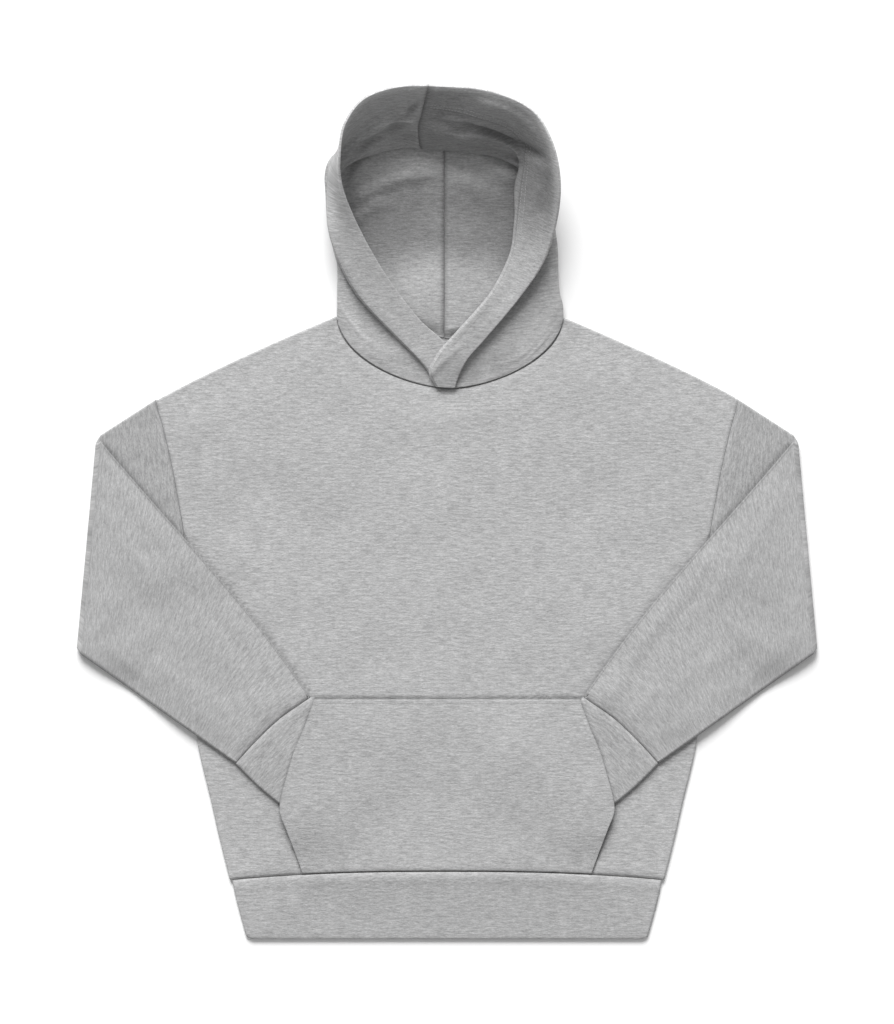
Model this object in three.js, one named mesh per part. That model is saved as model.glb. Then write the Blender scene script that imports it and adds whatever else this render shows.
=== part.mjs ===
// A pullover hoodie laid flat on its back, front up, sleeves folded over the front at the elbow
// and cuffs tucked into the pocket. Millimetres, +X to the viewer's right, +Y towards the hood,
// +Z up from the surface that it lies on. The origin is the middle of its footprint.

import * as THREE from 'three';

// Cloth and layers
const CLOTH = 2.0;              // thickness of the brushed fleece
const HEM_CLOTH = 2.6;          // doubled hem round the face opening
const PLY_GAP = 0.6;            // air between two layers of one piece
const SEAM_GAP = 0.3;           // clearance between sewn pieces
const PLIES = 2 * CLOTH + PLY_GAP;          // thickness of a flattened tube
const EDGE_RADIUS = PLIES / 2;              // round edge of a flattened tube
const EDGE_INNER = EDGE_RADIUS - CLOTH;
const STACK = PLIES + 0.5;                  // where a second tube starts to lie

// Body
const HEM_SEAM_Y = -406.5;      // hem seam at the middle of the front
const HEM_SEAM_SAG = 9.3;       // how much lower it is at the sides
const HEM_BOTTOM_Y = -482;
const SHOULDER_Y = 217;         // highest point of the shoulder, at the neck
const SHOULDER_SLOPE = 0.453;
const SHOULDER_CURVE = 0.00013;
const ARMHOLE_TOP_Y = 124;
const ARMPIT_Y = -104;
const ARMPIT_REACH = 25;        // how far below the armpit the side edge is fully round
const NECK_CENTRE_X = 3.5;
const NECK_HALF = 128;
const NECK_FRONT_Y = 139;       // lowest point of the front neck seam
const NECK_BACK_Y = 194.4;      // lowest point of the back neck seam
const NECK_BACK_SLOPE = 0.18;
const NECK_ROUNDNESS = 0.85;
const NECK_COLUMNS = 16;
const NECK_INSET = 1.1;         // how far inside the body's neck edge the hood's edge lies

// Tables of a height y and half the width there
const SIDE_ROWS = [
  [-417, 242.5], [-366, 256.8], [-327, 266.6], [-262, 281.7], [-167, 291.5], [-104, 295.5],
  [-60, 293], [-18, 298], [17, 304], [54, 311], [92, 319.7], [126, 328.4], [220, 328.4],
];
const BAND_ROWS = [
  [-416, 240], [-430, 239.5], [-450, 234], [-468, 229.5], [-476, 226.5], [-482, 219],
];

// Sleeves, given for the right one
const SLEEVE_TOP = [328.7, 124];
const ARMHOLE_STEPS = [0.08, 0.24, 0.4, 0.56, 0.72, 0.88];   // from the top down
const ELBOW_TOP = [391.5, 80];
const ELBOW_BOTTOM = [414, -160.5];
const ELBOW_CORNER = 5;         // how far the two corners of the elbow fold round off
const FOREARM_BOW = 6;          // outward curve of the forearm's upper edge
const CUFF_SEAM = [[154, -209], [170, -219.8], [190, -234.2], [216, -258.8], [239, -284]];
const CUFF_END = [[103, -268], [180, -336]];
const CUFF_BOW = 3;
const SAG_START = 8;            // how far past the cuff the pocket still lies level
const FOREARM_SAG_START = 45;   // how far past an edge the forearm still lies level
const SLEEVE_WIDTH = 240;
const CUFF_WIDTH = 112;
const SAG_REACH = 30;           // how quickly cloth comes down beside what it lies on

// Pocket
const POCKET_ROWS = [
  [-409, 163], [-385, 171.5], [-360, 181], [-337, 189], [-320, 187], [-300, 181.5],
  [-274, 174], [-240, 160], [-226, 155], [-211.5, 149.5],
];
const POCKET_STEPS = 18;
const POCKET_SHARE = 0.67;      // its foot's half width as a share of the body's
const POCKET_CLEARANCE = 1.5;   // between its foot and the hem seam
const POCKET_LEVEL_Y = -380;    // above this its rows run straight across

// Hood: a row for each section from the face rim, round the outside, to the centre seam.
// turn is where the hem band bends over, back the share of the band that the cloth runs back
// under it, drop how far it lies under it; mid is on the panel, bulge its outermost point.
const HOOD_COLUMNS = [
  'rimX', 'rimY', 'rimZ', 'turnX', 'turnY', 'turnZ', 'back', 'drop',
  'midX', 'midY', 'midZ', 'bulgeX', 'bulgeY', 'bulgeZ', 'seamY',
];
const HOOD_LEFT_ROWS = [
  [10, 139, 3.7, -18, 140, 3.7, -0.6, 0, -70, 155, 3.8, -124.2, 215, 3.9, 194.6],
  [0, 186, 9, -28, 171, 11, -0.25, 4, -80, 179, 8, -123, 232, 8, 213],
  [-31, 217.6, 20, -62, 205, 21, -0.2, 8, -98, 210, 12, -123, 250, 12, 240],
  [-70, 269.5, 38, -105, 252, 33, -0.15, 11, -116, 262, 18, -123, 278, 15, 270],
  [-103, 329, 52, -133, 314, 39, -0.1, 11, -130, 310, 22, -126, 314, 13, 300],
  [-119, 371, 64, -134.5, 358, 34, -0.1, 8, -132, 350, 20, -128, 350, 11, 330],
  [-121, 402, 72, -130, 394, 38, -0.3, 12, -123, 380, 20, -125, 388, 11, 360],
  [-116, 436, 80, -108, 424, 46, -0.7, 18, -106, 396, 16, -116, 425, 10, 385],
  [-95, 465, 87, -82, 447, 53, -0.8, 18, -80, 405, 12, -92, 455, 9.5, 405],
  [-58, 479, 91, -52, 457, 60, -0.9, 20, -50, 411, 10, -52, 471, 9.5, 425],
  [-21, 481, 92, -27, 457, 62, -0.9, 21, -28, 411, 10, -4, 474, 9.5, 440],
];
const HOOD_RIGHT_ROWS = [
  [8, 141, 18, -19, 142, 15, 0.8, 8, 70, 153, 3.8, 131.2, 215, 3.9, 194.6],
  [21, 170, 24, -8, 176, 22, 0.7, 9, 84, 178, 8, 130, 232, 8, 213],
  [43, 195, 33, 13, 201, 29, 0.66, 10, 95, 205, 12, 126, 250, 12, 240],
  [83, 243, 42, 52, 246, 37, 0.6, 12, 112, 246, 18, 124.5, 275, 14, 270],
  [109, 282, 52, 74, 290, 46, 0.5, 14, 116, 284, 24, 124, 300, 14, 300],
  [124, 329, 60, 80, 330, 50, 0.4, 16, 106, 326, 26, 120, 330, 13, 330],
  [127.5, 374, 68, 84, 368, 54, 0.3, 16, 98, 364, 25, 116, 372, 12, 360],
  [118, 418, 78, 88, 398, 56, -0.1, 18, 88, 384, 14, 108, 412, 10, 385],
  [96, 453, 85, 76, 428, 60, -0.7, 20, 62, 400, 11, 86, 448, 9.5, 405],
  [46, 475, 90, 30, 446, 63, -0.9, 21, 18, 408, 10, 40, 469, 9.5, 425],
  [-21, 481, 92, -27, 457, 62, -0.9, 21, -28, 411, 10, -4, 474, 9.5, 440],
];
const HOOD_SEAM_X = -3;
const CROWN_GAP = 0.32;         // from the crown's seam plane to each panel
const HOOD_ROW_STEPS = 24;
const HOOD_FOOT = 18;           // from the outermost point in to where the cloth lies down
const HOOD_SPAN_STEPS = [2, 2, 3, 3, 5, 5, 3, 1, 2];   // steps between the points of a section
const HOOD_BEND = 0.4;          // how far a bend bows out, as a share of its drop
const HOOD_FULL_BEND = 0.3;
const HOOD_TURN_STEP = 4;       // steps from the rim to the end of the hem band
const HOOD_BULGE_STEP = 20;
const HOOD_FLAT_STEPS = 3;      // steps that lie flat, next to the centre seam

const clamp01 = (value) => Math.min(1, Math.max(0, value));
const mix = (a, b, t) => a + (b - a) * t;
const ease = (value) => {
  const t = clamp01(value);
  return t * t * (3 - 2 * t);
};
const point = (x, y, z) => new THREE.Vector3(x, y, z);
const named = (columns, row) => Object.fromEntries(columns.map((name, i) => [name, row[i]]));
const evenly = (count) => Array.from({ length: count + 1 }, (_, i) => i / count);

// Smooth value of a two-column table at a key, with straight ends
function lookup(rows, key) {
  const ascending = rows[0][0] < rows[rows.length - 1][0];
  const table = ascending ? rows : [...rows].reverse();
  if (key <= table[0][0]) return table[0][1];
  if (key >= table[table.length - 1][0]) return table[table.length - 1][1];
  const i = table.findIndex((row, n) => n > 0 && key <= row[0]) - 1;
  const slope = (a, b) => (table[b][1] - table[a][1]) / (table[b][0] - table[a][0]);
  const here = slope(i, i + 1);
  const start = i > 0 ? (slope(i - 1, i) + here) / 2 : here;
  const end = i + 2 < table.length ? (here + slope(i + 1, i + 2)) / 2 : here;
  const span = table[i + 1][0] - table[i][0];
  const t = (key - table[i][0]) / span;
  const rise = table[i][1] * (1 - t) ** 2 * (1 + 2 * t) + table[i + 1][1] * t ** 2 * (3 - 2 * t);
  return rise + span * t * (1 - t) * (start * (1 - t) - end * t);
}

// A closed wall between an outer and an inner grid of points; a wrapping grid is a tube
function wall(outer, inner, wraps) {
  const rows = outer.length;
  const columns = outer[0].length;
  const at = (side, row, column) => (side * rows + row) * columns + (column % columns);
  const faces = [];
  const quad = (a, b, c, d) => faces.push(a, b, c, a, c, d);
  const otherQuad = (a, b, c, d) => faces.push(a, b, d, b, c, d);
  const spans = wraps ? columns : columns - 1;
  for (let c = 0; c < spans; c += 1) {
    const isUnder = wraps && c >= columns / 2;
    const face = isUnder ? otherQuad : quad;
    for (let r = 0; r < rows - 1; r += 1) {
      face(at(0, r, c), at(0, r, c + 1), at(0, r + 1, c + 1), at(0, r + 1, c));
      face(at(1, r, c + 1), at(1, r, c), at(1, r + 1, c), at(1, r + 1, c + 1));
    }
    const last = rows - 1;
    quad(at(0, 0, c + 1), at(0, 0, c), at(1, 0, c), at(1, 0, c + 1));
    quad(at(0, last, c), at(0, last, c + 1), at(1, last, c + 1), at(1, last, c));
  }
  for (let r = 0; !wraps && r < rows - 1; r += 1) {
    const c = columns - 1;
    quad(at(0, r, 0), at(0, r + 1, 0), at(1, r + 1, 0), at(1, r, 0));
    quad(at(0, r + 1, c), at(0, r, c), at(1, r, c), at(1, r + 1, c));
  }
  const points = [...outer.flat(), ...inner.flat()];
  let volume = 0;
  for (let i = 0; i < faces.length; i += 3) {
    const [a, b, c] = [points[faces[i]], points[faces[i + 1]], points[faces[i + 2]]];
    volume += a.dot(point(0, 0, 0).crossVectors(b, c));
  }
  const geometry = new THREE.BufferGeometry();
  geometry.setFromPoints(points);
  geometry.setIndex(volume > 0 ? faces : faces.reverse());
  geometry.computeVertexNormals();
  return geometry;
}

// Seam lines that two pieces share
const sideHalf = (y) => lookup(SIDE_ROWS, y);
const hemSeamY = (share) => HEM_SEAM_Y - HEM_SEAM_SAG * Math.abs(share) ** 2.5;
const shoulderY = (x) => {
  const out = Math.abs(x - NECK_CENTRE_X * 0.5) - NECK_HALF;
  return SHOULDER_Y - SHOULDER_SLOPE * out - SHOULDER_CURVE * out * out;
};
const neckFrontY = (x, inset = 0) => {
  const share = Math.min(0.9995, Math.abs(x - NECK_CENTRE_X) / (NECK_HALF - inset));
  const rise = (1 - Math.sqrt(1 - share * share)) ** NECK_ROUNDNESS;
  return NECK_FRONT_Y + inset + (SHOULDER_Y - NECK_FRONT_Y) * rise;
};
const neckBackY = (x) => NECK_BACK_Y + NECK_BACK_SLOPE * Math.abs(x - NECK_CENTRE_X);

// Where the panel's round edge is cut: the angle of each column or row from the edge inwards
const ROUND_ANGLES = [0, Math.PI / 4, Math.PI / 2];
const roundInset = (angle, radius) => radius * (1 - Math.cos(angle));

// Front or back of the body: side +1 is the front, -1 the back
function bodyPanel(side, neckY) {
  const middle = EDGE_RADIUS;
  const halfAtTop = sideHalf(ARMHOLE_TOP_Y);
  const neckShares = [-1, 1].map((s) => (NECK_CENTRE_X + s * NECK_HALF) / halfAtTop);
  const shoulderShares = [0.3, 0.65];
  const sideRows = [0, 0.16, 0.34, 0.5];
  const neckSteps = evenly(NECK_COLUMNS).map((t) => (1 - Math.cos(Math.PI * t)) / 2);
  const columns = [
    ...ROUND_ANGLES.map((angle) => ({ share: -1, angle })),
    ...shoulderShares.map((t) => ({ share: mix(-1, neckShares[0], t), angle: Math.PI / 2 })),
    ...neckSteps.map((t) => (
      { share: mix(neckShares[0], neckShares[1], t), angle: Math.PI / 2 })),
    ...[...shoulderShares].reverse().map((t) => (
      { share: mix(1, neckShares[1], t), angle: Math.PI / 2 })),
    ...[...ROUND_ANGLES].reverse().map((angle) => ({ share: 1, angle })),
  ];
  const lowest = hemSeamY(1) + SEAM_GAP;
  const rowShare = (y) => (y - lowest) / (ARMHOLE_TOP_Y - lowest);
  const rowShares = [
    ...sideRows, rowShare(ARMPIT_Y),
    ...[...ARMHOLE_STEPS].reverse().map((step) => rowShare(mix(SLEEVE_TOP[1], ARMPIT_Y, step))),
  ];
  const rows = [
    ...rowShares.map((t) => ({ t, angle: Math.PI / 2 })),
    ...[...ROUND_ANGLES].reverse().map((angle) => ({ t: 1, angle })),
  ];
  const grid = (radius) => rows.map((row) => columns.map(({ share, angle }) => {
    const xTop = share * halfAtTop;
    const isNeck = share > neckShares[0] + 1e-9 && share < neckShares[1] - 1e-9;
    const top = isNeck ? neckY(xTop) : Math.max(ARMHOLE_TOP_Y, shoulderY(xTop));
    const low = hemSeamY(share) + SEAM_GAP;
    const flat = Math.sin(row.angle);
    const shoulderInset = roundInset(row.angle, radius) + EDGE_RADIUS - radius;
    const neckInset = SEAM_GAP + roundInset(row.angle, EDGE_RADIUS);
    const topInset = isNeck ? neckInset : shoulderInset;
    const y = mix(low, top, row.t) - (row.t === 1 ? topInset : 0);
    const below = ease((ARMPIT_Y - y) / ARMPIT_REACH);
    const sideways = (EDGE_RADIUS - radius + roundInset(angle, radius)) * below
      + roundInset(angle, EDGE_RADIUS) * (1 - below);
    const x = share * sideHalf(y) - Math.sign(share) * (Math.abs(share) === 1 ? sideways : 0);
    const lift = Math.min(isNeck ? 1 : flat, mix(1, Math.sin(angle), below));
    return point(x, y, middle + side * mix(SEAM_GAP / 2, radius, lift));
  }));
  return wall(grid(EDGE_RADIUS), grid(EDGE_INNER), false);
}

// Points round a flattened tube: across is 0 to 1 over its width, inset is in millimetres,
// level from -1 at its under side to 1 at its upper side
const TUBE_EDGE_ANGLES = [0, 0.25, 0.5].map((share) => share * Math.PI);
function tubeLoop(acrossSteps) {
  const half = [
    ...TUBE_EDGE_ANGLES.map((angle) => ({ end: 0, angle })),
    ...acrossSteps.map((across) => ({ across, angle: Math.PI / 2 })),
    ...[...TUBE_EDGE_ANGLES].reverse().map((angle) => ({ end: 1, angle })),
  ];
  const upper = half.map((entry) => ({ ...entry, level: 1 }));
  const lower = half.slice(1, -1).reverse().map((entry) => ({ ...entry, level: -1 }));
  return [...upper, ...lower];
}
// Place of one of those points for a tube's outer or inner face
function tubePlace({ across, end, angle, level }, radius, width, corner) {
  const from = (EDGE_RADIUS - radius + roundInset(angle, radius) + corner) / width;
  const shift = corner / width;
  const share = end === undefined ? mix(shift, 1 - shift, across) : Math.abs(end - from);
  return { share, level: level * Math.sin(angle) * radius };
}

function hemBand() {
  const loop = tubeLoop([0.08, 0.2, 0.35, 0.5, 0.65, 0.8, 0.92]);
  const heights = [0, 0.35, 0.7, 0.92, 1];
  const grid = (radius) => heights.map((t) => loop.map((entry) => {
    const half = lookup(BAND_ROWS, mix(BAND_ROWS[0][0], HEM_BOTTOM_Y, t));
    const place = tubePlace(entry, radius, 2 * half, 0);
    const side = 2 * place.share - 1;
    const y = mix(hemSeamY(side), HEM_BOTTOM_Y, t);
    return point(side * half, y, EDGE_RADIUS + place.level);
  }));
  return wall(grid(EDGE_RADIUS), grid(EDGE_INNER), true);
}

// A line of plan points, smoothly curved, by share of its length
function planLine(points) {
  const places = points.map(([x, y]) => point(x, y, 0));
  const curve = new THREE.CatmullRomCurve3(places, false, 'centripetal');
  return (share) => curve.getPointAt(clamp01(share));
}
const cuffSeam = planLine(CUFF_SEAM);
const cuffEnd = planLine(CUFF_END);
const elbow = (share) => point(
  mix(ELBOW_TOP[0], ELBOW_BOTTOM[0], share), mix(ELBOW_TOP[1], ELBOW_BOTTOM[1], share), 0);
const armhole = (share) => {
  const y = mix(SLEEVE_TOP[1], ARMPIT_Y, share);
  return point(sideHalf(y) + SEAM_GAP, y, 0);
};
const FOREARM_BOW_WAY = point(-0.76, 0.65, 0);      // square to the forearm's upper edge
const elbowAway = point(
  ELBOW_TOP[1] - ELBOW_BOTTOM[1], ELBOW_BOTTOM[0] - ELBOW_TOP[0], 0).normalize();

// Height of the forearm's under side: it lies on the body or upper sleeve, and sags beside them
function supportUnder(x, y) {
  const besideBody = x - sideHalf(y);
  const slope = (ELBOW_BOTTOM[1] - ARMPIT_Y) / (ELBOW_BOTTOM[0] - sideHalf(ARMPIT_Y));
  const belowSleeve = ARMPIT_Y + slope * (x - sideHalf(ARMPIT_Y)) - y;
  return STACK * (1 - ease((Math.min(besideBody, belowSleeve) - FOREARM_SAG_START) / SAG_REACH));
}

// Sleeve from the armhole to the elbow, round the elbow fold, and on to the cuff seam
function sleeve() {
  const loop = tubeLoop(ARMHOLE_STEPS);
  const axisZ = (PLIES + STACK) / 2;
  const stations = [
    ...[0, 0.4, 0.8].map((t) => ({ part: 'upper', t })),
    ...[-90, -45, 0, 45, 90].map((degrees) => ({ part: 'fold', turn: degrees * Math.PI / 180 })),
    ...[0.08, 0.2, 0.34, 0.48, 0.62, 0.76, 0.89, 1].map((t) => ({ part: 'fore', t })),
  ];
  const grid = (radius) => stations.map((station) => loop.map((entry) => {
    const narrowing = station.part === 'fore' ? station.t : 0;
    const width = mix(SLEEVE_WIDTH, CUFF_WIDTH, narrowing);
    const corner = station.part === 'fold' ? ELBOW_CORNER * Math.cos(station.turn) : 0;
    const { share, level } = tubePlace(entry, radius, width, corner);
    if (station.part === 'upper') {
      const plan = armhole(share).lerp(elbow(share), station.t);
      return point(plan.x, plan.y, EDGE_RADIUS + level);
    }
    if (station.part === 'fold') {
      const reach = axisZ - EDGE_RADIUS - level;
      const plan = elbow(share).addScaledVector(elbowAway, reach * Math.cos(station.turn));
      return point(plan.x, plan.y, axisZ + reach * Math.sin(station.turn));
    }
    const plan = elbow(share).lerp(cuffSeam(share), station.t);
    const bow = FOREARM_BOW * Math.sin(Math.PI * station.t ** 1.6) * (1 - share);
    plan.addScaledVector(FOREARM_BOW_WAY, bow);
    return point(plan.x, plan.y, supportUnder(plan.x, plan.y) + EDGE_RADIUS - level);
  }));
  return wall(grid(EDGE_RADIUS), grid(EDGE_INNER), true);
}

function cuff() {
  const loop = tubeLoop([0.1, 0.26, 0.42, 0.58, 0.74, 0.9]);
  const grid = (radius) => evenly(5).map((t) => loop.map((entry) => {
    const { share, level } = tubePlace(entry, radius, CUFF_WIDTH, 0);
    const seam = cuffSeam(share);
    const away = cuffEnd(share).sub(seam);
    const plan = seam.addScaledVector(away, mix(SEAM_GAP / away.length(), 1, t));
    plan.y -= CUFF_BOW * Math.sin(Math.PI * t) * share;
    return point(plan.x, plan.y, STACK + EDGE_RADIUS - level);
  }));
  return wall(grid(EDGE_RADIUS), grid(EDGE_INNER), true);
}

// Distance in plan from a point to the cuff that lies inside the pocket
function besideCuff(x, y) {
  const corners = [CUFF_SEAM[0], CUFF_END[0], CUFF_END[1], CUFF_SEAM[CUFF_SEAM.length - 1]];
  let inside = true;
  let nearest = Infinity;
  corners.forEach(([ax, ay], i) => {
    const [bx, by] = corners[(i + 1) % corners.length];
    const [dx, dy] = [bx - ax, by - ay];
    const t = clamp01(((x - ax) * dx + (y - ay) * dy) / (dx * dx + dy * dy));
    nearest = Math.min(nearest, Math.hypot(x - ax - t * dx, y - ay - t * dy));
    inside = inside && (dx * (y - ay) - dy * (x - ax)) >= 0;
  });
  return inside ? 0 : nearest;
}

function pocket() {
  const columns = evenly(POCKET_STEPS).map((t) => Math.sin((t - 0.5) * Math.PI));
  const heights = POCKET_ROWS.map((row) => row[0]);
  const rows = heights.flatMap((y, i) => (i ? [mix(heights[i - 1], y, 0.5), y] : [y]));
  const grid = (thickness) => rows.map((row) => columns.map((share) => {
    const x = share * lookup(POCKET_ROWS, row);
    const bottom = hemSeamY(share * POCKET_SHARE) + POCKET_CLEARANCE;
    const height = (row - heights[0]) / (POCKET_LEVEL_Y - heights[0]);
    const y = height < 1 ? Math.max(row, mix(bottom, POCKET_LEVEL_Y, height)) : row;
    const beside = besideCuff(Math.abs(x), y) - SAG_START - CUFF_BOW;
    const lift = (STACK + PLY_GAP) * (1 - ease(beside / SAG_REACH));
    return point(x, y, PLIES + SEAM_GAP + lift + thickness);
  }));
  return wall(grid(CLOTH), grid(0), false);
}

// One section of the hood as a smooth line through its named points
function hoodSection(values, direction) {
  const rim = point(values.rimX, values.rimY, values.rimZ);
  const turn = point(values.turnX, values.turnY, values.turnZ);
  const bulge = point(values.bulgeX, values.bulgeY, values.bulgeZ);
  const seam = point(HOOD_SEAM_X + direction * SEAM_GAP / 2, values.seamY, CLOTH / 2);
  const tuck = turn.clone().lerp(point(rim.x, rim.y, turn.z), values.back);
  tuck.z -= values.drop;
  const inwards = seam.clone().sub(bulge).setZ(0).normalize();
  const foot = bulge.clone().addScaledVector(inwards, HOOD_FOOT).setZ(CLOTH / 2);
  const outwards = turn.clone().sub(rim).setZ(0).normalize();
  const bent = turn.clone().addScaledVector(outwards, HOOD_BEND * values.drop);
  const bend = turn.clone().lerp(tuck, 0.5).lerp(bent, clamp01(values.back / HOOD_FULL_BEND));
  bend.z = turn.z - values.drop / 2;
  return [
    rim, rim.clone().lerp(turn, 0.5), turn, bend, tuck,
    point(values.midX, values.midY, values.midZ), bulge,
    foot, foot.clone().lerp(seam, 0.5), seam,
  ];
}

function hoodRows(table, direction) {
  const sections = table.map((row) => hoodSection(named(HOOD_COLUMNS, row), direction));
  const along = sections[0].map((_, i) => (
    new THREE.CatmullRomCurve3(sections.map((section) => section[i]), false, 'centripetal')));
  return evenly(HOOD_ROW_STEPS).map((s) => {
    const controls = along.map((curve) => curve.getPoint(s));
    const section = new THREE.CatmullRomCurve3(controls, false, 'centripetal');
    const line = [];
    HOOD_SPAN_STEPS.forEach((count, span) => {
      const place = (i) => (span + i / count) / HOOD_SPAN_STEPS.length;
      for (let i = 0; i < count; i += 1) line.push(section.getPoint(place(i)));
    });
    line.push(controls[controls.length - 1]);
    line.forEach((p) => p.setZ(Math.max(p.z, CLOTH / 2)));
    return line;
  });
}

// The two panels share the crown's last section, so that their walls meet there face to face
function hoodPanels() {
  const left = hoodRows(HOOD_LEFT_ROWS, -1);
  const right = hoodRows(HOOD_RIGHT_ROWS, 1);
  return { left: hoodWall(left, right), right: hoodWall(right, left) };
}

function hoodWall(rows, others) {
  const last = rows.length - 1;
  const sign = -Math.sign(rows[0][HOOD_BULGE_STEP].x);
  rows[0].forEach((p, c) => {
    const limit = NECK_HALF - NECK_INSET - CLOTH / 2 - SEAM_GAP;
    p.x = NECK_CENTRE_X + Math.max(-limit, Math.min(limit, p.x - NECK_CENTRE_X));
    p.y = c <= HOOD_BULGE_STEP ? neckFrontY(p.x, NECK_INSET) : neckBackY(p.x) + NECK_INSET;
  });
  const normals = rows.map((row, r) => row.map((p, c) => {
    const ahead = r === last ? others[last - 1][c] : rows[r + 1][c];
    const behind = rows[Math.max(0, r - 1)][c];
    const alongRows = ahead.clone().sub(behind);
    if (r === 0) alongRows.z = 0;
    const alongRow = row[Math.min(c + 1, row.length - 1)].clone().sub(row[Math.max(0, c - 1)]);
    const normal = alongRows.cross(alongRow).normalize().multiplyScalar(sign);
    return c >= row.length - HOOD_FLAT_STEPS ? point(0, 0, -1) : normal;
  }));
  const shifted = rows.map((row, r) => row.map((p, c) => {
    if (r !== last) return p;
    const back = rows[last - 1][c].clone().sub(p).normalize();
    return p.clone().addScaledVector(back, CROWN_GAP);
  }));
  const offset = (side) => shifted.map((row, r) => row.map((p, c) => {
    const thick = mix(HEM_CLOTH, CLOTH, ease((c - HOOD_TURN_STEP + 2) / 2));
    const moved = p.clone().addScaledVector(normals[r][c], side * thick / 2);
    return moved.setZ(Math.max(0, moved.z));
  }));
  return wall(offset(1), offset(-1), false);
}

const mirrored = (geometry) => {
  const copy = geometry.clone().scale(-1, 1, 1);
  copy.setIndex([...copy.getIndex().array].reverse());
  return copy;
};

const group = new THREE.Group();
function add(name, geometry, color) {
  const material = new THREE.MeshStandardMaterial({ color, roughness: 0.95, metalness: 0 });
  const mesh = new THREE.Mesh(geometry, material);
  mesh.name = name;
  group.add(mesh);
}

const MARL = 0xb2b2b2;
const MARL_DEEP = 0xa9a9a9;
const rightSleeve = sleeve();
const rightCuff = cuff();
const hood = hoodPanels();
add('back_body', bodyPanel(-1, neckBackY), MARL);
add('front_body', bodyPanel(1, neckFrontY), MARL);
add('hem_band', hemBand(), MARL_DEEP);
add('sleeve_left', mirrored(rightSleeve), MARL);
add('sleeve_right', rightSleeve, MARL);
add('cuff_left', mirrored(rightCuff), MARL_DEEP);
add('cuff_right', rightCuff, MARL_DEEP);
add('pocket', pocket(), MARL);
add('hood_left', hood.left, MARL);
add('hood_right', hood.right, MARL);

export default group;
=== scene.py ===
import math

import bpy
import numpy as np
from mathutils import Matrix
from mathutils.bvhtree import BVHTree


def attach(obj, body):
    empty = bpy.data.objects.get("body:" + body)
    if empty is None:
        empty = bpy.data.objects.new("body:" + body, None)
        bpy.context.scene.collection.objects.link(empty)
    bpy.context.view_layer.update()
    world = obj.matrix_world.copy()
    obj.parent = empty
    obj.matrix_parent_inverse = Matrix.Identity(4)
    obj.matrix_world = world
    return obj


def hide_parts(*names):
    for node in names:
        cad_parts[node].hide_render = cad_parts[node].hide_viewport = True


# A heather grey pullover hoodie laid flat, sleeves folded over the front, cuffs in the pocket.
# Sizes here are millimetres; meshes are made in metres. +X is the viewer's right, +Y the hood.

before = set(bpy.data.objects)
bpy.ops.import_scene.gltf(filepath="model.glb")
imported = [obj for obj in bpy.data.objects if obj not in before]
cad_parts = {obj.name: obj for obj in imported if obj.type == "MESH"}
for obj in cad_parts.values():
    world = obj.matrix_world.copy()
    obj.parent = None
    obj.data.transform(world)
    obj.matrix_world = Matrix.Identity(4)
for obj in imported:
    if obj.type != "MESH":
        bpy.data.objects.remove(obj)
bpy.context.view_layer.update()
FINE = 1.0

# Sizes, the part's own; the shoulder line and the hood's front rims follow the photo more closely
CLOTH = 2.0
HEM_CLOTH = 2.6     # the hood's turned hem
SEAM_GAP = 0.3
PLIES = 4.6         # back and front together
EDGE_RADIUS = 2.3   # outside of a folded edge
EDGE_INNER = 0.3    # inside of a folded edge
STACK = 5.1         # height of the forearms' under side where they lie on the front
HEM_SEAM_Y = -406.5
HEM_SEAM_SAG = 9.3
HEM_BOTTOM_Y = -482
HEM_LINE_HALF = 240
# The hem band's rise under the pocket's foot, its half width and how far it reaches
HEM_LIFT, HEM_LIFT_HALF, HEM_LIFT_REACH = 2.2, 178, 18
SHOULDER_Y = 220.3
SHOULDER_SLOPE = 0.41
SHOULDER_CURVE = 0.00028
ARMHOLE_TOP_Y = 127
ARMPIT_Y = -104
ARMPIT_REACH = 25   # over which the sewn side edge opens into the armhole
NECK_CENTRE_X = 3.5
NECK_HALF = 128
NECK_FRONT_Y = 139
NECK_BACK_Y = 194.4
NECK_BACK_SLOPE = 0.18
NECK_ROUNDNESS = 0.85
NECK_INSET = 1.1
SIDE_ROWS = [
    (-417, 245), (-366, 257.8), (-327, 266.6), (-262, 281.7), (-167, 291.5), (-104, 295.5),
    (-60, 293), (-18, 298), (17, 304), (54, 311), (92, 319.7), (126, 328.4), (220, 328.4),
]
BAND_ROWS = [
    (-416, 242.6), (-430, 240), (-450, 235), (-468, 230), (-477, 227.4), (-480.6, 225.4), (-482, 221)]
SLEEVE_TOP_Y = 127
ELBOW_TOP = (391.5, 80)
ELBOW_BOTTOM = (414, -160.5)
ELBOW_CORNER = 5
ELBOW_RAISE = 6.5   # of the upper sleeve's corner over the forearm's
FOREARM_BOW = 6
FOREARM_BOW_WAY = np.array([-0.76, 0.65])
CUFF_SEAM = [(154, -209), (170, -219.8), (190, -234.2), (216, -258.8), (239, -284)]
CUFF_END = [(103, -268), (180, -336)]
CUFF_BOW = 3
SLEEVE_WIDTH = 240
CUFF_WIDTH = 112
# Length of cloth from the armhole to the elbow's fold, on to the cuff, and of the cuff
ELBOW_RUN = 78
FOREARM_RUN = 310
CUFF_RUN = 75
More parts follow.
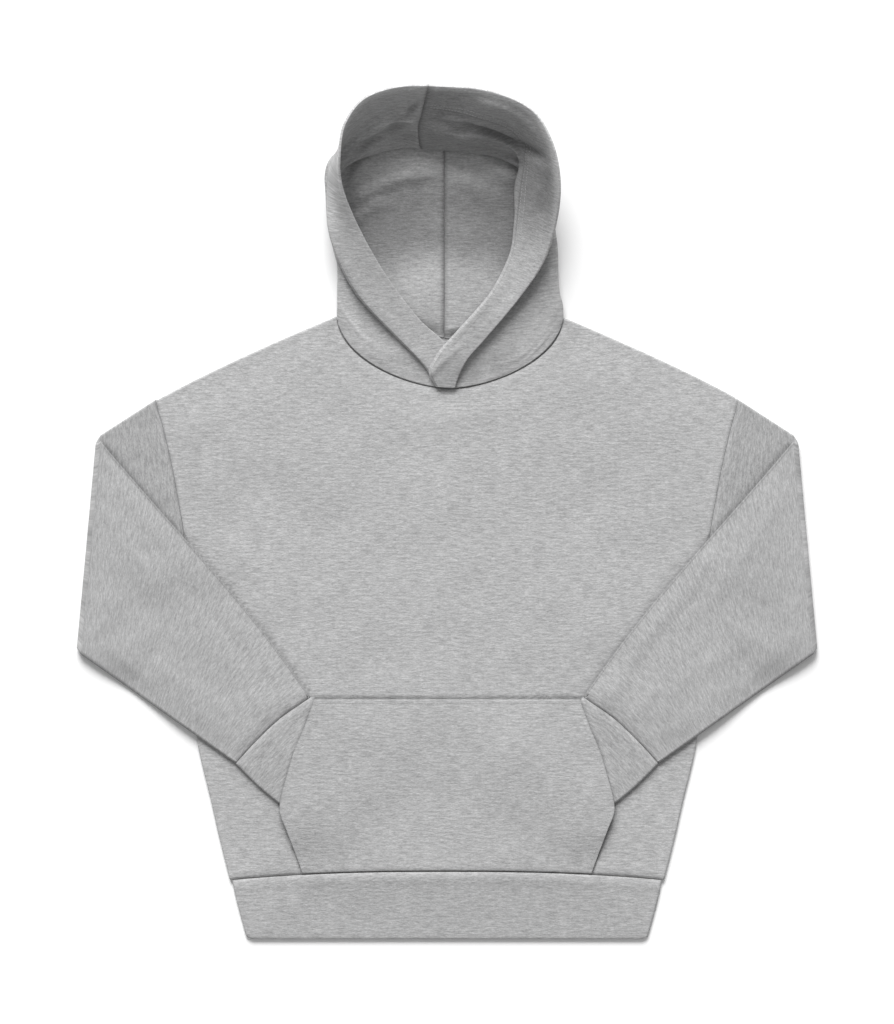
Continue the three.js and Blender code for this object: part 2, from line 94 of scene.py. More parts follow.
# How far beside what lifts it cloth starts to sag, and how far the sag reaches
SAG_START = 6
POCKET_REACH = 85
FOREARM_SAG_START = 10
FOREARM_SAG_REACH = 60
PLY_GAP = 0.6       # added between the cuff and the pocket over it
POCKET_ROWS = [
    (-409, 163), (-385, 171.5), (-360, 181), (-337, 189), (-320, 187), (-300, 181.5),
    (-274, 174), (-240, 160), (-226, 155), (-211.5, 149.5),
]
POCKET_TOP_Y, POCKET_TOP_HALF = POCKET_ROWS[-1]
POCKET_FOOT_Y, POCKET_FOOT_HALF = POCKET_ROWS[0]
POCKET_SHARE = 0.67     # of the hem seam's half length, for its sag under the pocket
POCKET_CLEARANCE = 1.5
POCKET_LEVEL_Y = -380   # above here the pocket's rows are level
# Where pieces were cut on the bolt; the pocket and the hem's face go on with the front's courses
BOLT_PLACE = {
    "front": 0, "back": 3000, "hem_under": 1500, "sleeve_right": 5000, "sleeve_left": 7000,
    "sleeve_under": 700, "cuff_right": 9000, "cuff_left": 9500, "cuff_under": 200,
    "hood_left": 11000, "hood_right": 13000,
}
HOOD_SEAM_X = -3
CROWN_GAP = 0.02    # from the crown's seam to each panel
HOOD_FOOT = 18      # from the bulge to where the cloth meets the surface
HOOD_BEND = 0.4     # of the drop, that the fold behind the hem stands out
HOOD_FULL_BEND = 0.3    # how far back the tuck lies where that fold is at its fullest
# Rows from the neck to the crown: rim, turn (each x, y, z), back, drop, mid, bulge (each x, y, z), seam y
HOOD_LEFT_ROWS = [
    (12, 139, 3.7, -6, 140, 3.9, -0.6, 0.2, -70, 155, 3.8, -124.2, 215, 3.9, 194.6),
    (1, 186, 8, -26, 167, 11, 0.14, 5.5, -80, 181, 7, -123, 232, 8, 213),
    (-31, 217.6, 14, -61, 203, 15, 0.16, 6.5, -98, 210, 8.5, -123, 250, 11, 240),
    (-70, 269.5, 23, -104, 251, 21, 0.16, 7, -116, 262, 13.5, -123, 278, 13, 270),
    (-103, 329, 38, -132, 313, 30, 0.12, 9, -130, 310, 18, -126, 314, 12, 300),
    (-119, 371, 56, -134.5, 358, 32, -0.1, 8, -132, 350, 20, -128, 350, 11, 330),
    (-121, 402, 72, -130, 394, 38, -0.3, 12, -123, 380, 20, -125, 388, 11, 360),
    (-116, 436, 80, -108, 424, 46, -0.7, 18, -106, 396, 16, -116, 425, 10, 385),
    (-95, 465, 87, -82, 447, 53, -0.8, 18, -80, 405, 12, -92, 455, 9.5, 405),
    (-58, 479, 91, -52, 457, 60, -0.9, 20, -50, 411, 10, -52, 471, 9.5, 425),
    (-21, 481, 92, -27, 457, 62, -0.9, 21, -28, 411, 10, -4, 474, 9.5, 440),
]
HOOD_RIGHT_ROWS = [
    (9, 141, 8.5, -10, 142, 9, 0.8, 3.5, 70, 153, 3.8, 131.2, 215, 3.9, 194.6),
    (13, 153, 12, -17, 157, 13, 0.75, 6, 78, 165, 5.5, 130.6, 223, 6, 204),
    (23, 172, 17, -7, 178, 17, 0.7, 7, 86, 180, 7, 130, 234, 8, 215),
    (43, 195, 20, 13, 201, 18, 0.66, 7, 95, 205, 9, 126, 250, 11, 240),
    (83, 243, 27, 52, 246, 20, 0.6, 8, 112, 246, 13, 124.5, 275, 12, 270),
    (109, 282, 37, 74, 290, 23, 0.5, 9, 116, 284, 17, 124, 300, 12, 300),
    (124, 329, 49, 80, 330, 24, 0.4, 9, 106, 326, 15, 120, 330, 11, 330),
    (127.5, 374, 62, 84, 368, 26, 0.3, 9, 98, 364, 15, 116, 372, 10, 360),
    (118, 418, 76, 88, 398, 33, -0.1, 12, 88, 384, 14, 108, 412, 10, 385),
    (96, 453, 85, 76, 428, 45, -0.7, 18, 62, 400, 11, 86, 448, 9.5, 405),
    (46, 475, 90, 30, 446, 63, -0.9, 21, 18, 408, 10, 40, 469, 9.5, 425),
    (-21, 481, 92, -27, 457, 62, -0.9, 21, -28, 411, 10, -4, 474, 9.5, 440),
]
# Cells along each grid at full detail
SHOULDER_CELLS, NECK_CELLS, BODY_CELLS = 44, 96, 176
BAND_CELLS = (150, 26)
SLEEVE_CELLS = (70, 30, 104)    # across, along the upper sleeve, along the forearm
ELBOW_ANGLES = 11
CUFF_CELLS = (40, 30)
POCKET_CELLS = (130, 78)
HOOD_ROW_CELLS = 150
HOOD_SPANS = [9, 9, 9, 9, 26, 18, 14, 8, 10]


# Helpers
def mix(a, b, t):
    return a + (b - a) * t


def ease(value):
    t = np.clip(value, 0, 1)
    return t * t * (3 - 2 * t)


def steps(count):
    return max(2, int(round(count * FINE)))


def lookup(rows, key):
    table = np.array(sorted(rows), float)
    xs, ys = table[:, 0], table[:, 1]
    slopes = np.diff(ys) / np.diff(xs)
    tangents = np.concatenate([slopes[:1], (slopes[1:] + slopes[:-1]) / 2, slopes[-1:]])
    key = np.clip(np.asarray(key, float), xs[0], xs[-1])
    i = np.clip(np.searchsorted(xs, key) - 1, 0, len(xs) - 2)
    span = xs[i + 1] - xs[i]
    t = (key - xs[i]) / span
    rise = ys[i] * (1 - t) ** 2 * (1 + 2 * t) + ys[i + 1] * t ** 2 * (3 - 2 * t)
    return rise + span * t * (1 - t) * (tangents[i] * (1 - t) - tangents[i + 1] * t)


def spline(points, shares):
    """Centripetal curves through points[n, ..., 3] at each share of their spans."""
    points = np.asarray(points, float)
    n = len(points)
    place = np.clip(np.asarray(shares, float), 0, 1) * (n - 1)
    i = np.minimum(place.astype(int), n - 2)
    w = (place - i).reshape((-1,) + (1,) * (points.ndim - 1))
    padded = np.concatenate([
        [2 * points[0] - points[1]], points, [2 * points[-1] - points[-2]]])
    p0, p1, p2, p3 = (padded[i + k] for k in range(4))
    gap = [np.maximum(np.linalg.norm(b - a, axis=-1, keepdims=True) ** 0.5, 1e-3)
           for a, b in ((p0, p1), (p1, p2), (p2, p3))]
    t1 = ((p1 - p0) / gap[0] - (p2 - p0) / (gap[0] + gap[1]) + (p2 - p1) / gap[1]) * gap[1]
    t2 = ((p2 - p1) / gap[1] - (p3 - p1) / (gap[1] + gap[2]) + (p3 - p2) / gap[2]) * gap[1]
    return (p1 + t1 * w + (-3 * p1 + 3 * p2 - 2 * t1 - t2) * w ** 2
            + (2 * p1 - 2 * p2 + t1 + t2) * w ** 3)


def unit(vectors):
    return vectors / np.linalg.norm(vectors, axis=-1, keepdims=True)


def run_along(points):
    """Length of the line from its start to each of its points."""
    return np.concatenate([[0], np.cumsum(np.linalg.norm(np.diff(points, axis=0), axis=1))])


def plan_line(points):
    """A line in plan, as a function of the share of its length."""
    dense = spline(points, np.linspace(0, 1, 200))
    length = run_along(dense)
    return lambda share: np.stack([
        np.interp(np.clip(share, 0, 1), length / length[-1], dense[:, k]) for k in (0, 1)], -1)


def distance(x, y, line):
    """Plan distance to a chain of points."""
    nearest = np.full(np.shape(x), 1e9)
    for (ax, ay), (bx, by) in zip(line[:-1], line[1:]):
        dx, dy = bx - ax, by - ay
        t = np.clip(((x - ax) * dx + (y - ay) * dy) / max(dx * dx + dy * dy, 1e-9), 0, 1)
        nearest = np.minimum(nearest, np.hypot(x - ax - t * dx, y - ay - t * dy))
    return nearest


def noise(x, y, seed, size):
    """Smooth waves of about that size, -1 to 1, the same every time."""
    rng = np.random.default_rng(seed)
    total = 0.0
    for _ in range(7):
        angle = rng.uniform(0, 2 * math.pi)
        wave = 2 * math.pi / (size * rng.uniform(0.7, 1.6))
        phase = rng.uniform(0, 2 * math.pi)
        total = total + np.sin((x * math.cos(angle) + y * math.sin(angle)) * wave + phase)
    return total / 4.5


def creases(x, y, table):
    """Soft troughs (height below 0) and ridges: x and y of both ends, bow, width, height."""
    total = np.zeros(np.shape(x))
    for x1, y1, x2, y2, bow, width, height in table:
        dx, dy = x2 - x1, y2 - y1
        length = math.hypot(dx, dy)
        t = ((x - x1) * dx + (y - y1) * dy) / length ** 2
        off = ((x - x1) * dy - (y - y1) * dx) / length - bow * 4 * t * (1 - t)
        ends = ease((t + 0.12) / 0.35) * ease((1.12 - t) / 0.35)
        spread = width * (1 + 0.5 * t)
        total += height * ends * np.exp(-(off / spread) ** 2)
    return total


def is_inside(x, y, ring):
    inside = np.zeros(np.shape(x), bool)
    for (ax, ay), (bx, by) in zip(ring, ring[1:] + ring[:1]):
        crosses = (ay > y) != (by > y)
        level = by - ay if by != ay else 1e-9
        inside ^= crosses & (x < (bx - ax) * (y - ay) / level + ax)
    return inside


def side_half(y):
    return lookup(SIDE_ROWS, y)


def hem_seam_y(share):
    return HEM_SEAM_Y - HEM_SEAM_SAG * np.abs(share) ** 2.5


def shoulder_y(x):
    out = np.abs(x - NECK_CENTRE_X * 0.5) - NECK_HALF
    return SHOULDER_Y - SHOULDER_SLOPE * out - SHOULDER_CURVE * out * out


def neck_front_y(x, inset=0.0):
    share = np.minimum(0.9995, np.abs(x - NECK_CENTRE_X) / (NECK_HALF - inset))
    rise = (1 - np.sqrt(1 - share * share)) ** NECK_ROUNDNESS
    return NECK_FRONT_Y + inset + (SHOULDER_Y - NECK_FRONT_Y) * rise


def neck_back_y(x, inset=0.0):
    return NECK_BACK_Y + NECK_BACK_SLOPE * np.abs(x - NECK_CENTRE_X) + inset


# Lines that pieces share
def both_sides(right):
    return right, [(-x, y) for x, y in right]


NECK_LINE = [(x, float(neck_front_y(x))) for x in np.linspace(
    NECK_CENTRE_X - NECK_HALF + 0.5, NECK_CENTRE_X + NECK_HALF - 0.5, 60)]
HEM_LINE = [(s * HEM_LINE_HALF, float(hem_seam_y(s))) for s in np.linspace(-1, 1, 24)]
ARMHOLE_LINES = both_sides(
    [(float(side_half(y)), y) for y in np.linspace(ARMHOLE_TOP_Y, ARMPIT_Y, 24)])
SIDE_RING = [(float(side_half(y)), float(y)) for y in np.linspace(SIDE_ROWS[0][0], ARMPIT_Y, 18)]
SHOULDER_RING = [(x, float(shoulder_y(np.float64(x)))) for x in (328, 290, 250, 210, 170, 131)]
RIGHT_RING = (
    [(219, HEM_BOTTOM_Y), (239.5, -430)] + SIDE_RING
    + [ELBOW_BOTTOM, (ELBOW_TOP[0], ELBOW_TOP[1] + ELBOW_RAISE)] + SHOULDER_RING)
OUTLINE = RIGHT_RING + [(-x, y) for x, y in reversed(RIGHT_RING)]
cuff_seam = plan_line(CUFF_SEAM)
cuff_end = plan_line(CUFF_END)
CUFF_SEAM_LINE = [tuple(p) for p in cuff_seam(np.linspace(0, 1, 16))]


def forearm_edge(t):
    """A place on the forearm's upper edge, from the elbow to the cuff."""
    bow = FOREARM_BOW * math.sin(math.pi * t ** 1.6)
    return tuple(
        mix(ELBOW_TOP[k], CUFF_SEAM[0][k], t) + FOREARM_BOW_WAY[k] * bow for k in (0, 1))


FOREARM_EDGE = [forearm_edge(t) for t in np.linspace(0.02, 1, 16)]
POCKET_EDGE = [(half, y) for y, half in POCKET_ROWS] + [(0, POCKET_TOP_Y)]
POCKET_TOP_LINE = [(-POCKET_TOP_HALF, POCKET_TOP_Y), (POCKET_TOP_HALF, POCKET_TOP_Y)]
# Just above the pocket's top, a line of painted shade on the front for the seam's shade
POCKET_PAINTED_SHADE_LINE = [(-149, -210), (149, -210)]
# Seams of the front, the seed of their puckers and how far they are drawn down
FRONT_SEAMS = [
    (NECK_LINE, 21, 0.35), (HEM_LINE, 22, 0.9), (ARMHOLE_LINES[0], 23, 0.9),
    (ARMHOLE_LINES[1], 24, 0.9),
]

# Lie of the front layers

# Soft troughs and ridges: x and y of both ends, bow, width, height
BODY_CREASES = [
    (-230, 60, -120, -40, 8, 16, -1.0), (-262, -20, -190, -120, -6, 13, 0.9),
    (236, 84, 128, -8, -7, 15, -0.9), (250, -40, 206, -170, 6, 18, 0.8),
    (-60, 120, -150, 30, 6, 20, 0.7), (84, 110, 150, 20, -5, 17, -0.6),
    (-20, 60, 30, -150, 12, 26, 0.7), (-120, -90, -60, -190, 5, 18, -0.6),
    (110, -70, 60, -180, -6, 15, 0.6), (-215, -330, -205, -398, 2, 9, 0.8),
    (224, -338, 210, -400, -3, 8, -0.7), (-240, -290, -200, -390, 4, 12, -0.6),
]


def relief(x, y):
    """How far the front layers lie above flat: none at the outline or at the neck."""
    lie = 2.4 + 0.9 * noise(x, y, 11, 190) + 0.45 * noise(x, y, 5, 74)
    lie = np.maximum(lie + creases(x, y, BODY_CREASES), 0)
    away = np.where(is_inside(x, y, OUTLINE), distance(x, y, OUTLINE + OUTLINE[:1]), 0)
    return lie * ease(away / 55) * ease(distance(x, y, NECK_LINE) / 40)


def pressed(x, y):
    """How far cloth is pressed down under the edge of what lies on it."""
    total = 1.5 * np.exp(-(distance(np.abs(x), y, FOREARM_EDGE) / 2.6) ** 2)
    return total + 0.9 * np.exp(-(distance(np.abs(x), y, POCKET_EDGE) / 1.8) ** 2)


def seam_dip(away, depth=0.9):
    """Cloth drawn down into a seam, and the turned edge under it that lifts it beside."""
    return (depth * np.exp(-(away / 1.3) ** 2) + 0.35 * np.exp(-(away / 5) ** 2)
            - 0.35 * np.exp(-((away - 9) / 4) ** 2))


def painted_groove_shade_and_light(x, y, lines, depth=0.07, width=1.2):
    """Painted shade in the line where two pieces are sewn or one lies on another, and a little painted
    light beside it.
    """
    tone = 1.0
    for line in lines:
        away = distance(x, y, line)
        tone = tone * (1 - depth * np.exp(-(away / width) ** 2))
        tone = tone * (1 + 0.05 * np.exp(-((away - 3.6) / 1.6) ** 2))
    return tone


def pucker(x, y, away, seed):
    """Small uneven gathers across a seam, felt for a finger's width."""
    return 0.16 * noise(x, y, seed, 11) * np.exp(-(away / 9) ** 2)


def sewn_down(x, y, line, seed, depth=0.9):
    """How far a seam draws the cloth down, less its puckers."""
    away = distance(x, y, line)
    return seam_dip(away, depth) - pucker(x, y, away, seed)


# Closed shells
def round_rim(outer, inner, reach=1.0):
    """Rounds the cut edge along the first row."""
    rows = []
    for share, inset in ((0.35, 0.0), (0.8, 0.3), (1.0, 1.0)):
        step = []
        for grid in (outer, inner):
            along = grid[1] - grid[0]
            length = np.linalg.norm(along, axis=-1, keepdims=True)
            step.append(grid[0] + along * np.minimum(inset * reach / np.maximum(length, 1e-6), 0.6))
        middle = (step[0] + step[1]) / 2
        rows.append([middle + (place - middle) * share for place in step])
    return (np.concatenate([[row[0] for row in rows], outer[1:]]),
            np.concatenate([[row[1] for row in rows], inner[1:]]))


def shell(name, wraps, material, outer, inner, grain, tone=1.0):
    """Closed cloth wall between two grids; grain is where each point was in the flat cut."""
    # tone: each point's painted light and shade with its piece's own tone, kept as the tone attribute
    tone = np.broadcast_to(np.asarray(tone, float) * 1000, outer.shape[:2])[..., None]
    grids = [np.concatenate([grid, grain, tone], -1) for grid in (outer, inner)]
    grids = round_rim(*grids)
    grids = [g[::-1] for g in round_rim(*(g[::-1] for g in grids))]
    if not wraps:
        grids = [np.swapaxes(g, 0, 1) for g in round_rim(*(np.swapaxes(g, 0, 1) for g in grids))]
        turned = round_rim(*(np.swapaxes(g, 0, 1)[::-1] for g in grids))
        grids = [np.swapaxes(g[::-1], 0, 1) for g in turned]
    rows, columns = grids[0].shape[:2]
    index = np.arange(2 * rows * columns).reshape(2, rows, columns)
    if wraps:
        index = np.concatenate([index, index[:, :, :1]], 2)
    a, b = index
    quads = [
        np.stack([a[:-1, :-1], a[:-1, 1:], a[1:, 1:], a[1:, :-1]], -1).reshape(-1, 4),
        np.stack([b[:-1, :-1], b[1:, :-1], b[1:, 1:], b[:-1, 1:]], -1).reshape(-1, 4),
        np.stack([a[0, 1:], a[0, :-1], b[0, :-1], b[0, 1:]], -1),
        np.stack([a[-1, :-1], a[-1, 1:], b[-1, 1:], b[-1, :-1]], -1),
    ]
    if not wraps:
        quads.append(np.stack([a[:-1, 0], a[1:, 0], b[1:, 0], b[:-1, 0]], -1))
        quads.append(np.stack([a[1:, -1], a[:-1, -1], b[:-1, -1], b[1:, -1]], -1))
    quads = np.concatenate(quads)
    points = np.concatenate([g.reshape(-1, g.shape[-1]) for g in grids]) * 0.001
    places = points[:, :3]
    corner = [places[quads[:, k]] for k in range(3)]
    volume = np.einsum("ij,ij->", corner[0], np.cross(corner[1], corner[2]))
    if volume < 0:
        quads = quads[:, ::-1]
    mesh = bpy.data.meshes.new(name)
    mesh.from_pydata(places.tolist(), [], quads.tolist())
    layer = mesh.uv_layers.new(name="grain")
    layer.data.foreach_set("uv", points[quads.reshape(-1), 3:5].astype(np.float32).reshape(-1))
    shade = mesh.attributes.new("tone", "FLOAT", "POINT")
    shade.data.foreach_set("value", points[:, 5].astype(np.float32))
    mesh.shade_smooth()
    mesh.materials.append(material)
    piece = bpy.data.objects.new(name, mesh)
    bpy.context.scene.collection.objects.link(piece)
    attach(piece, "root")
    return piece


EDGE_ANGLES = np.radians([0, 20, 45, 68, 90])


def round_inset(angle, radius):
    return radius * (1 - np.cos(angle))


# Body
def front_painted_light_and_shade(x, y):
    """Painted shade in the front's seams and where the forearms and the pocket lie on it, with a little
    painted light beside each line.
    """
    tone = painted_groove_shade_and_light(x, y, [line for line, _, _ in FRONT_SEAMS])
    tone = tone * painted_groove_shade_and_light(np.abs(x), y, (FOREARM_EDGE,), 0.32, 1.9)
    tone = tone * painted_groove_shade_and_light(np.abs(x), y, (POCKET_EDGE,), 0.2, 1.5)
    return tone * painted_groove_shade_and_light(x, y, (POCKET_PAINTED_SHADE_LINE,), 0.42, 2.3)


def body_columns(half_top):
    """Columns from side seam to side seam: share of the width, edge angle, which are the neck's."""
    low_share, high_share = ((NECK_CENTRE_X + s * NECK_HALF) / half_top for s in (-1, 1))
    shoulder = np.linspace(0, 1, steps(SHOULDER_CELLS) + 2)[1:-1]
    arc = (1 - np.cos(np.pi * np.linspace(0, 1, steps(NECK_CELLS) + 1))) / 2
    ends = len(EDGE_ANGLES)
    share = np.concatenate([
        np.full(ends, -1.0), mix(-1, low_share, shoulder), mix(low_share, high_share, arc),
        mix(high_share, 1, shoulder), np.full(ends, 1.0)])
    angle = np.full(len(share), np.pi / 2)
    angle[:ends] = EDGE_ANGLES
    angle[-ends:] = EDGE_ANGLES[::-1]
    return share, angle, (share > low_share + 1e-9) & (share < high_share - 1e-9)


def body_panel(side):
    """Back (side -1) or front (side 1), from the hem's seam to the shoulders and the neck."""
    neck = neck_front_y if side > 0 else neck_back_y
    half_top = float(side_half(ARMHOLE_TOP_Y))
    share, angle, is_neck = body_columns(half_top)
    ends = len(EDGE_ANGLES)
    tall = np.concatenate([np.linspace(0, 1, steps(BODY_CELLS) + 1), np.ones(ends - 1)])
    row_angle = np.full(len(tall), np.pi / 2)
    row_angle[-ends:] = EDGE_ANGLES[::-1]
    is_top = tall == 1
    is_edge = np.abs(share) == 1
    top_x = share * half_top
    top = np.where(is_neck, neck(top_x), np.maximum(ARMHOLE_TOP_Y, shoulder_y(top_x)))
    low = hem_seam_y(share) + SEAM_GAP
    grids = []
    for radius in (EDGE_RADIUS, EDGE_INNER):
        fold = round_inset(row_angle, radius) + EDGE_RADIUS - radius
        cut = SEAM_GAP + round_inset(row_angle, EDGE_RADIUS)
        inset = np.where(is_neck[None], cut[:, None], fold[:, None]) * is_top[:, None]
        y = mix(low[None], top[None], tall[:, None]) - inset
        below = ease((ARMPIT_Y - y) / ARMPIT_REACH)
        sideways = ((EDGE_RADIUS - radius + round_inset(angle, radius))[None] * below
                    + round_inset(angle, EDGE_RADIUS)[None] * (1 - below))
        x = share[None] * side_half(y) - np.sign(share)[None] * is_edge[None] * sideways
        lift = np.minimum(
            np.where(is_neck[None], 1, np.sin(row_angle)[:, None]),
            mix(1, np.sin(angle)[None], below))
        z = EDGE_RADIUS + side * mix(SEAM_GAP / 2, radius, lift)
        if side > 0:
            z = z + relief(x, y)
            if radius == EDGE_RADIUS:
                z = z - pressed(x, y) * lift
                for line, seed, depth in FRONT_SEAMS:
                    z = z - sewn_down(x, y, line, seed, depth) * lift
        grids.append(np.stack([x, y, z], -1))
    grain = grids[0][..., :2] + BOLT_PLACE["front" if side > 0 else "back"]
    # Painted shade, with a little painted light, on the front's seams and under what lies on it
    tone = front_painted_light_and_shade(grids[0][..., 0], grids[0][..., 1]) if side > 0 else 1.0
    return grids[0], grids[1], grain, tone


# Flattened tubes
def tube_loop(across):
    """Columns round a flattened tube: place over the width, edge angle, and which ply."""
    ends = len(EDGE_ANGLES)
    place = np.concatenate([np.zeros(ends), across, np.ones(ends)])
    angle = np.concatenate([EDGE_ANGLES, np.full(len(across), np.pi / 2), EDGE_ANGLES[::-1]])
    is_end = np.concatenate([np.ones(ends), np.zeros(len(across)), np.ones(ends)]) > 0
    back = slice(-2, 0, -1)
    return (np.concatenate([place, place[back]]), np.concatenate([angle, angle[back]]),
            np.concatenate([is_end, is_end[back]]),
            np.concatenate([np.ones(len(place)), -np.ones(len(place) - 2)]))


def tube_place(loop, radius, width, corner):
    """Each column's share of the width and its height from the tube's middle."""
    place, angle, is_end, level = loop
    inset = (EDGE_RADIUS - radius + round_inset(angle, radius)[None] + corner) / width
    shift = corner / width
    share = np.where(
        is_end[None], np.abs(place[None] - inset), mix(shift, 1 - shift, place[None]))
    return share, np.broadcast_to(level * np.sin(angle) * radius, share.shape)


def hem_band():
    """The doubled band, as a flat tube; where the pocket is over its seam it stands level with it."""
    loop = tube_loop(np.linspace(0.012, 0.988, steps(BAND_CELLS[0])))
    t = np.linspace(0, 1, steps(BAND_CELLS[1]) + 1)[:, None]
    grids = []
    for radius in (EDGE_RADIUS, EDGE_INNER):
        half = lookup(BAND_ROWS, mix(BAND_ROWS[0][0], HEM_BOTTOM_Y, t))
        share, level = tube_place(loop, radius, 2 * half, 0)
        spread = 2 * share - 1
        x = spread * half
        y = mix(hem_seam_y(spread), HEM_BOTTOM_Y, t)
        upper = np.clip(level / radius, 0, 1)
        z = EDGE_RADIUS + level + relief(x, y) * upper
        if radius == EDGE_RADIUS:
            away = distance(x, y, HEM_LINE)
            z = z - (seam_dip(away) - pucker(x, y, away, 22)) * upper
            z = z - 0.5 * np.exp(-((y - HEM_BOTTOM_Y) / 5) ** 2) * upper
            beneath = ease((HEM_LIFT_HALF - np.abs(x)) / HEM_LIFT_REACH)
            beneath = beneath * np.exp(-(away / HEM_LIFT_REACH) ** 2)
            z = z + HEM_LIFT * beneath * upper
        grids.append(np.stack([x, y, z], -1))
    under = BOLT_PLACE["hem_under"] * (loop[3] < 0)[None]
    grain = np.stack([grids[0][..., 0], grids[0][..., 1] + under], -1)
    return grids[0], grids[1], grain


ELBOW_AWAY = unit(np.array([ELBOW_TOP[1] - ELBOW_BOTTOM[1], ELBOW_BOTTOM[0] - ELBOW_TOP[0]]))
ELBOW_Z = (PLIES + STACK) / 2


def support_under(x, y):
    """Height of the forearm's under side: it sags beside what it lies on."""
    armpit_x = float(side_half(ARMPIT_Y))
    slope = (ELBOW_BOTTOM[1] - ARMPIT_Y) / (ELBOW_BOTTOM[0] - armpit_x)
    beside = np.minimum(x - side_half(y), ARMPIT_Y + slope * (x - armpit_x) - y)
    return STACK * (1 - ease((beside - FOREARM_SAG_START) / FOREARM_SAG_REACH))


# Creases of each forearm: share of the length and width at both ends, bow, width, height (mm)
FOREARM_CREASES = {
    "right": [
        (0.02, 0.18, 0.5, 0.34, 0.02, 0.05, 1.0), (0.0, 0.66, 0.36, 0.5, -0.03, 0.07, -0.9),
        (0.3, 0.72, 0.82, 0.6, 0.02, 0.05, 0.7), (0.55, 0.2, 0.97, 0.34, 0.02, 0.045, -0.7),
        (0.78, 0.5, 1.0, 0.52, 0.01, 0.04, 0.8), (0.05, 0.88, 0.4, 0.84, 0.02, 0.05, 0.6),
    ],
    "left": [
        (0.0, 0.22, 0.42, 0.38, -0.02, 0.06, 0.9), (0.03, 0.6, 0.44, 0.52, 0.03, 0.06, -1.0),
        (0.36, 0.78, 0.9, 0.66, -0.02, 0.05, 0.8), (0.5, 0.24, 0.93, 0.3, 0.03, 0.05, -0.6),
        (0.82, 0.44, 1.0, 0.47, 0.01, 0.04, 0.7), (0.1, 0.9, 0.5, 0.8, -0.02, 0.045, 0.5),
    ],
}


def elbow(share, raised):
    """The elbow's fold line; its top corner is higher by raised shares on the upper sleeve."""
    x, y = (mix(ELBOW_TOP[k], ELBOW_BOTTOM[k], share) for k in (0, 1))
    return np.stack([x, y + raised * ELBOW_RAISE * (1 - share) ** 2], -1)


def upper_sleeve(loop, t, radius, sign):
    """Points from the armhole to the elbow, of the right sleeve's plan."""
    share, level = tube_place(loop, radius, SLEEVE_WIDTH + 0 * t, 0)
    hole_y = mix(SLEEVE_TOP_Y, ARMPIT_Y, share)
    hole = np.stack([side_half(hole_y) + SEAM_GAP, hole_y], -1)
    plan = mix(hole, elbow(share, 1), t[..., None])
    x, y = plan[..., 0], plan[..., 1]
    upper = np.clip(level / radius, 0, 1)
    z = EDGE_RADIUS + level + relief(sign * x, y) * upper
    if radius == EDGE_RADIUS:
        z = z - (sewn_down(x, y, ARMHOLE_LINES[0], 23) + pressed(x, y)) * upper
    return np.stack([x, y, z], -1)


def elbow_fold(loop, turn, radius):
    """Points round the elbow's fold, where the sleeve turns back over itself."""
    share, level = tube_place(
        loop, radius, SLEEVE_WIDTH + 0 * turn, ELBOW_CORNER * np.cos(turn))
    reach = ELBOW_Z - EDGE_RADIUS - level
    plan = elbow(share, (1 - np.sin(turn)) / 2) + ELBOW_AWAY * (reach * np.cos(turn))[..., None]
    return np.concatenate([plan, (ELBOW_Z + reach * np.sin(turn))[..., None]], -1)


def forearm(loop, t, radius, side, sign):
    """Points from the elbow to the cuff, turned over, with creases of its own."""
    width = mix(SLEEVE_WIDTH, CUFF_WIDTH, t)
    share, level = tube_place(loop, radius, width, 0)
    plan = mix(elbow(share, 0), cuff_seam(share), t[..., None])
    bow = FOREARM_BOW * np.sin(np.pi * t ** 1.6) * (1 - share)
    plan = plan + FOREARM_BOW_WAY * bow[..., None]
    x, y = plan[..., 0], plan[..., 1]
    z = support_under(x, y) + EDGE_RADIUS - level + relief(sign * x, y)
    upper = np.clip(-level / radius, 0, 1)
    own = 1.6 + 0.7 * noise(t * 330, share * 240, 31 + sign, 95)
    own = np.maximum(own + creases(t + 0 * share, share, FOREARM_CREASES[side]), 0)
    inwards = np.minimum(share, 1 - share) * width
    own = own * ease(inwards / 26) * ease(t / 0.12) * ease((1 - t) / 0.06)
    z = z + own * upper
    if radius == EDGE_RADIUS:
        z = z - sewn_down(x, y, CUFF_SEAM_LINE, 25) * upper
    return np.stack([x, y, z], -1)


def sleeve_tone_and_painted_shade(x, y, run, place):
    """The upper sleeve darker overall, with painted shade along the armhole seam and under the forearm's
    edge; the forearm with painted shade along its edges and the cuff's seam.
    """
    is_forearm = ease((run - ELBOW_RUN + 2) / 4)
    on_upper = painted_groove_shade_and_light(x, y, (ARMHOLE_LINES[0],))
    on_upper = on_upper * painted_groove_shade_and_light(x, y, (FOREARM_EDGE,), 0.36, 2.6)
    # Painted shade along the forearm's two edges
    rim = 1 - 0.3 * np.exp(-(np.minimum(place, 1 - place) / 0.012) ** 2)[None]
    on_forearm = rim * painted_groove_shade_and_light(x, y, (CUFF_SEAM_LINE,))
    return mix(0.84 * on_upper, 0.94 * on_forearm, is_forearm)


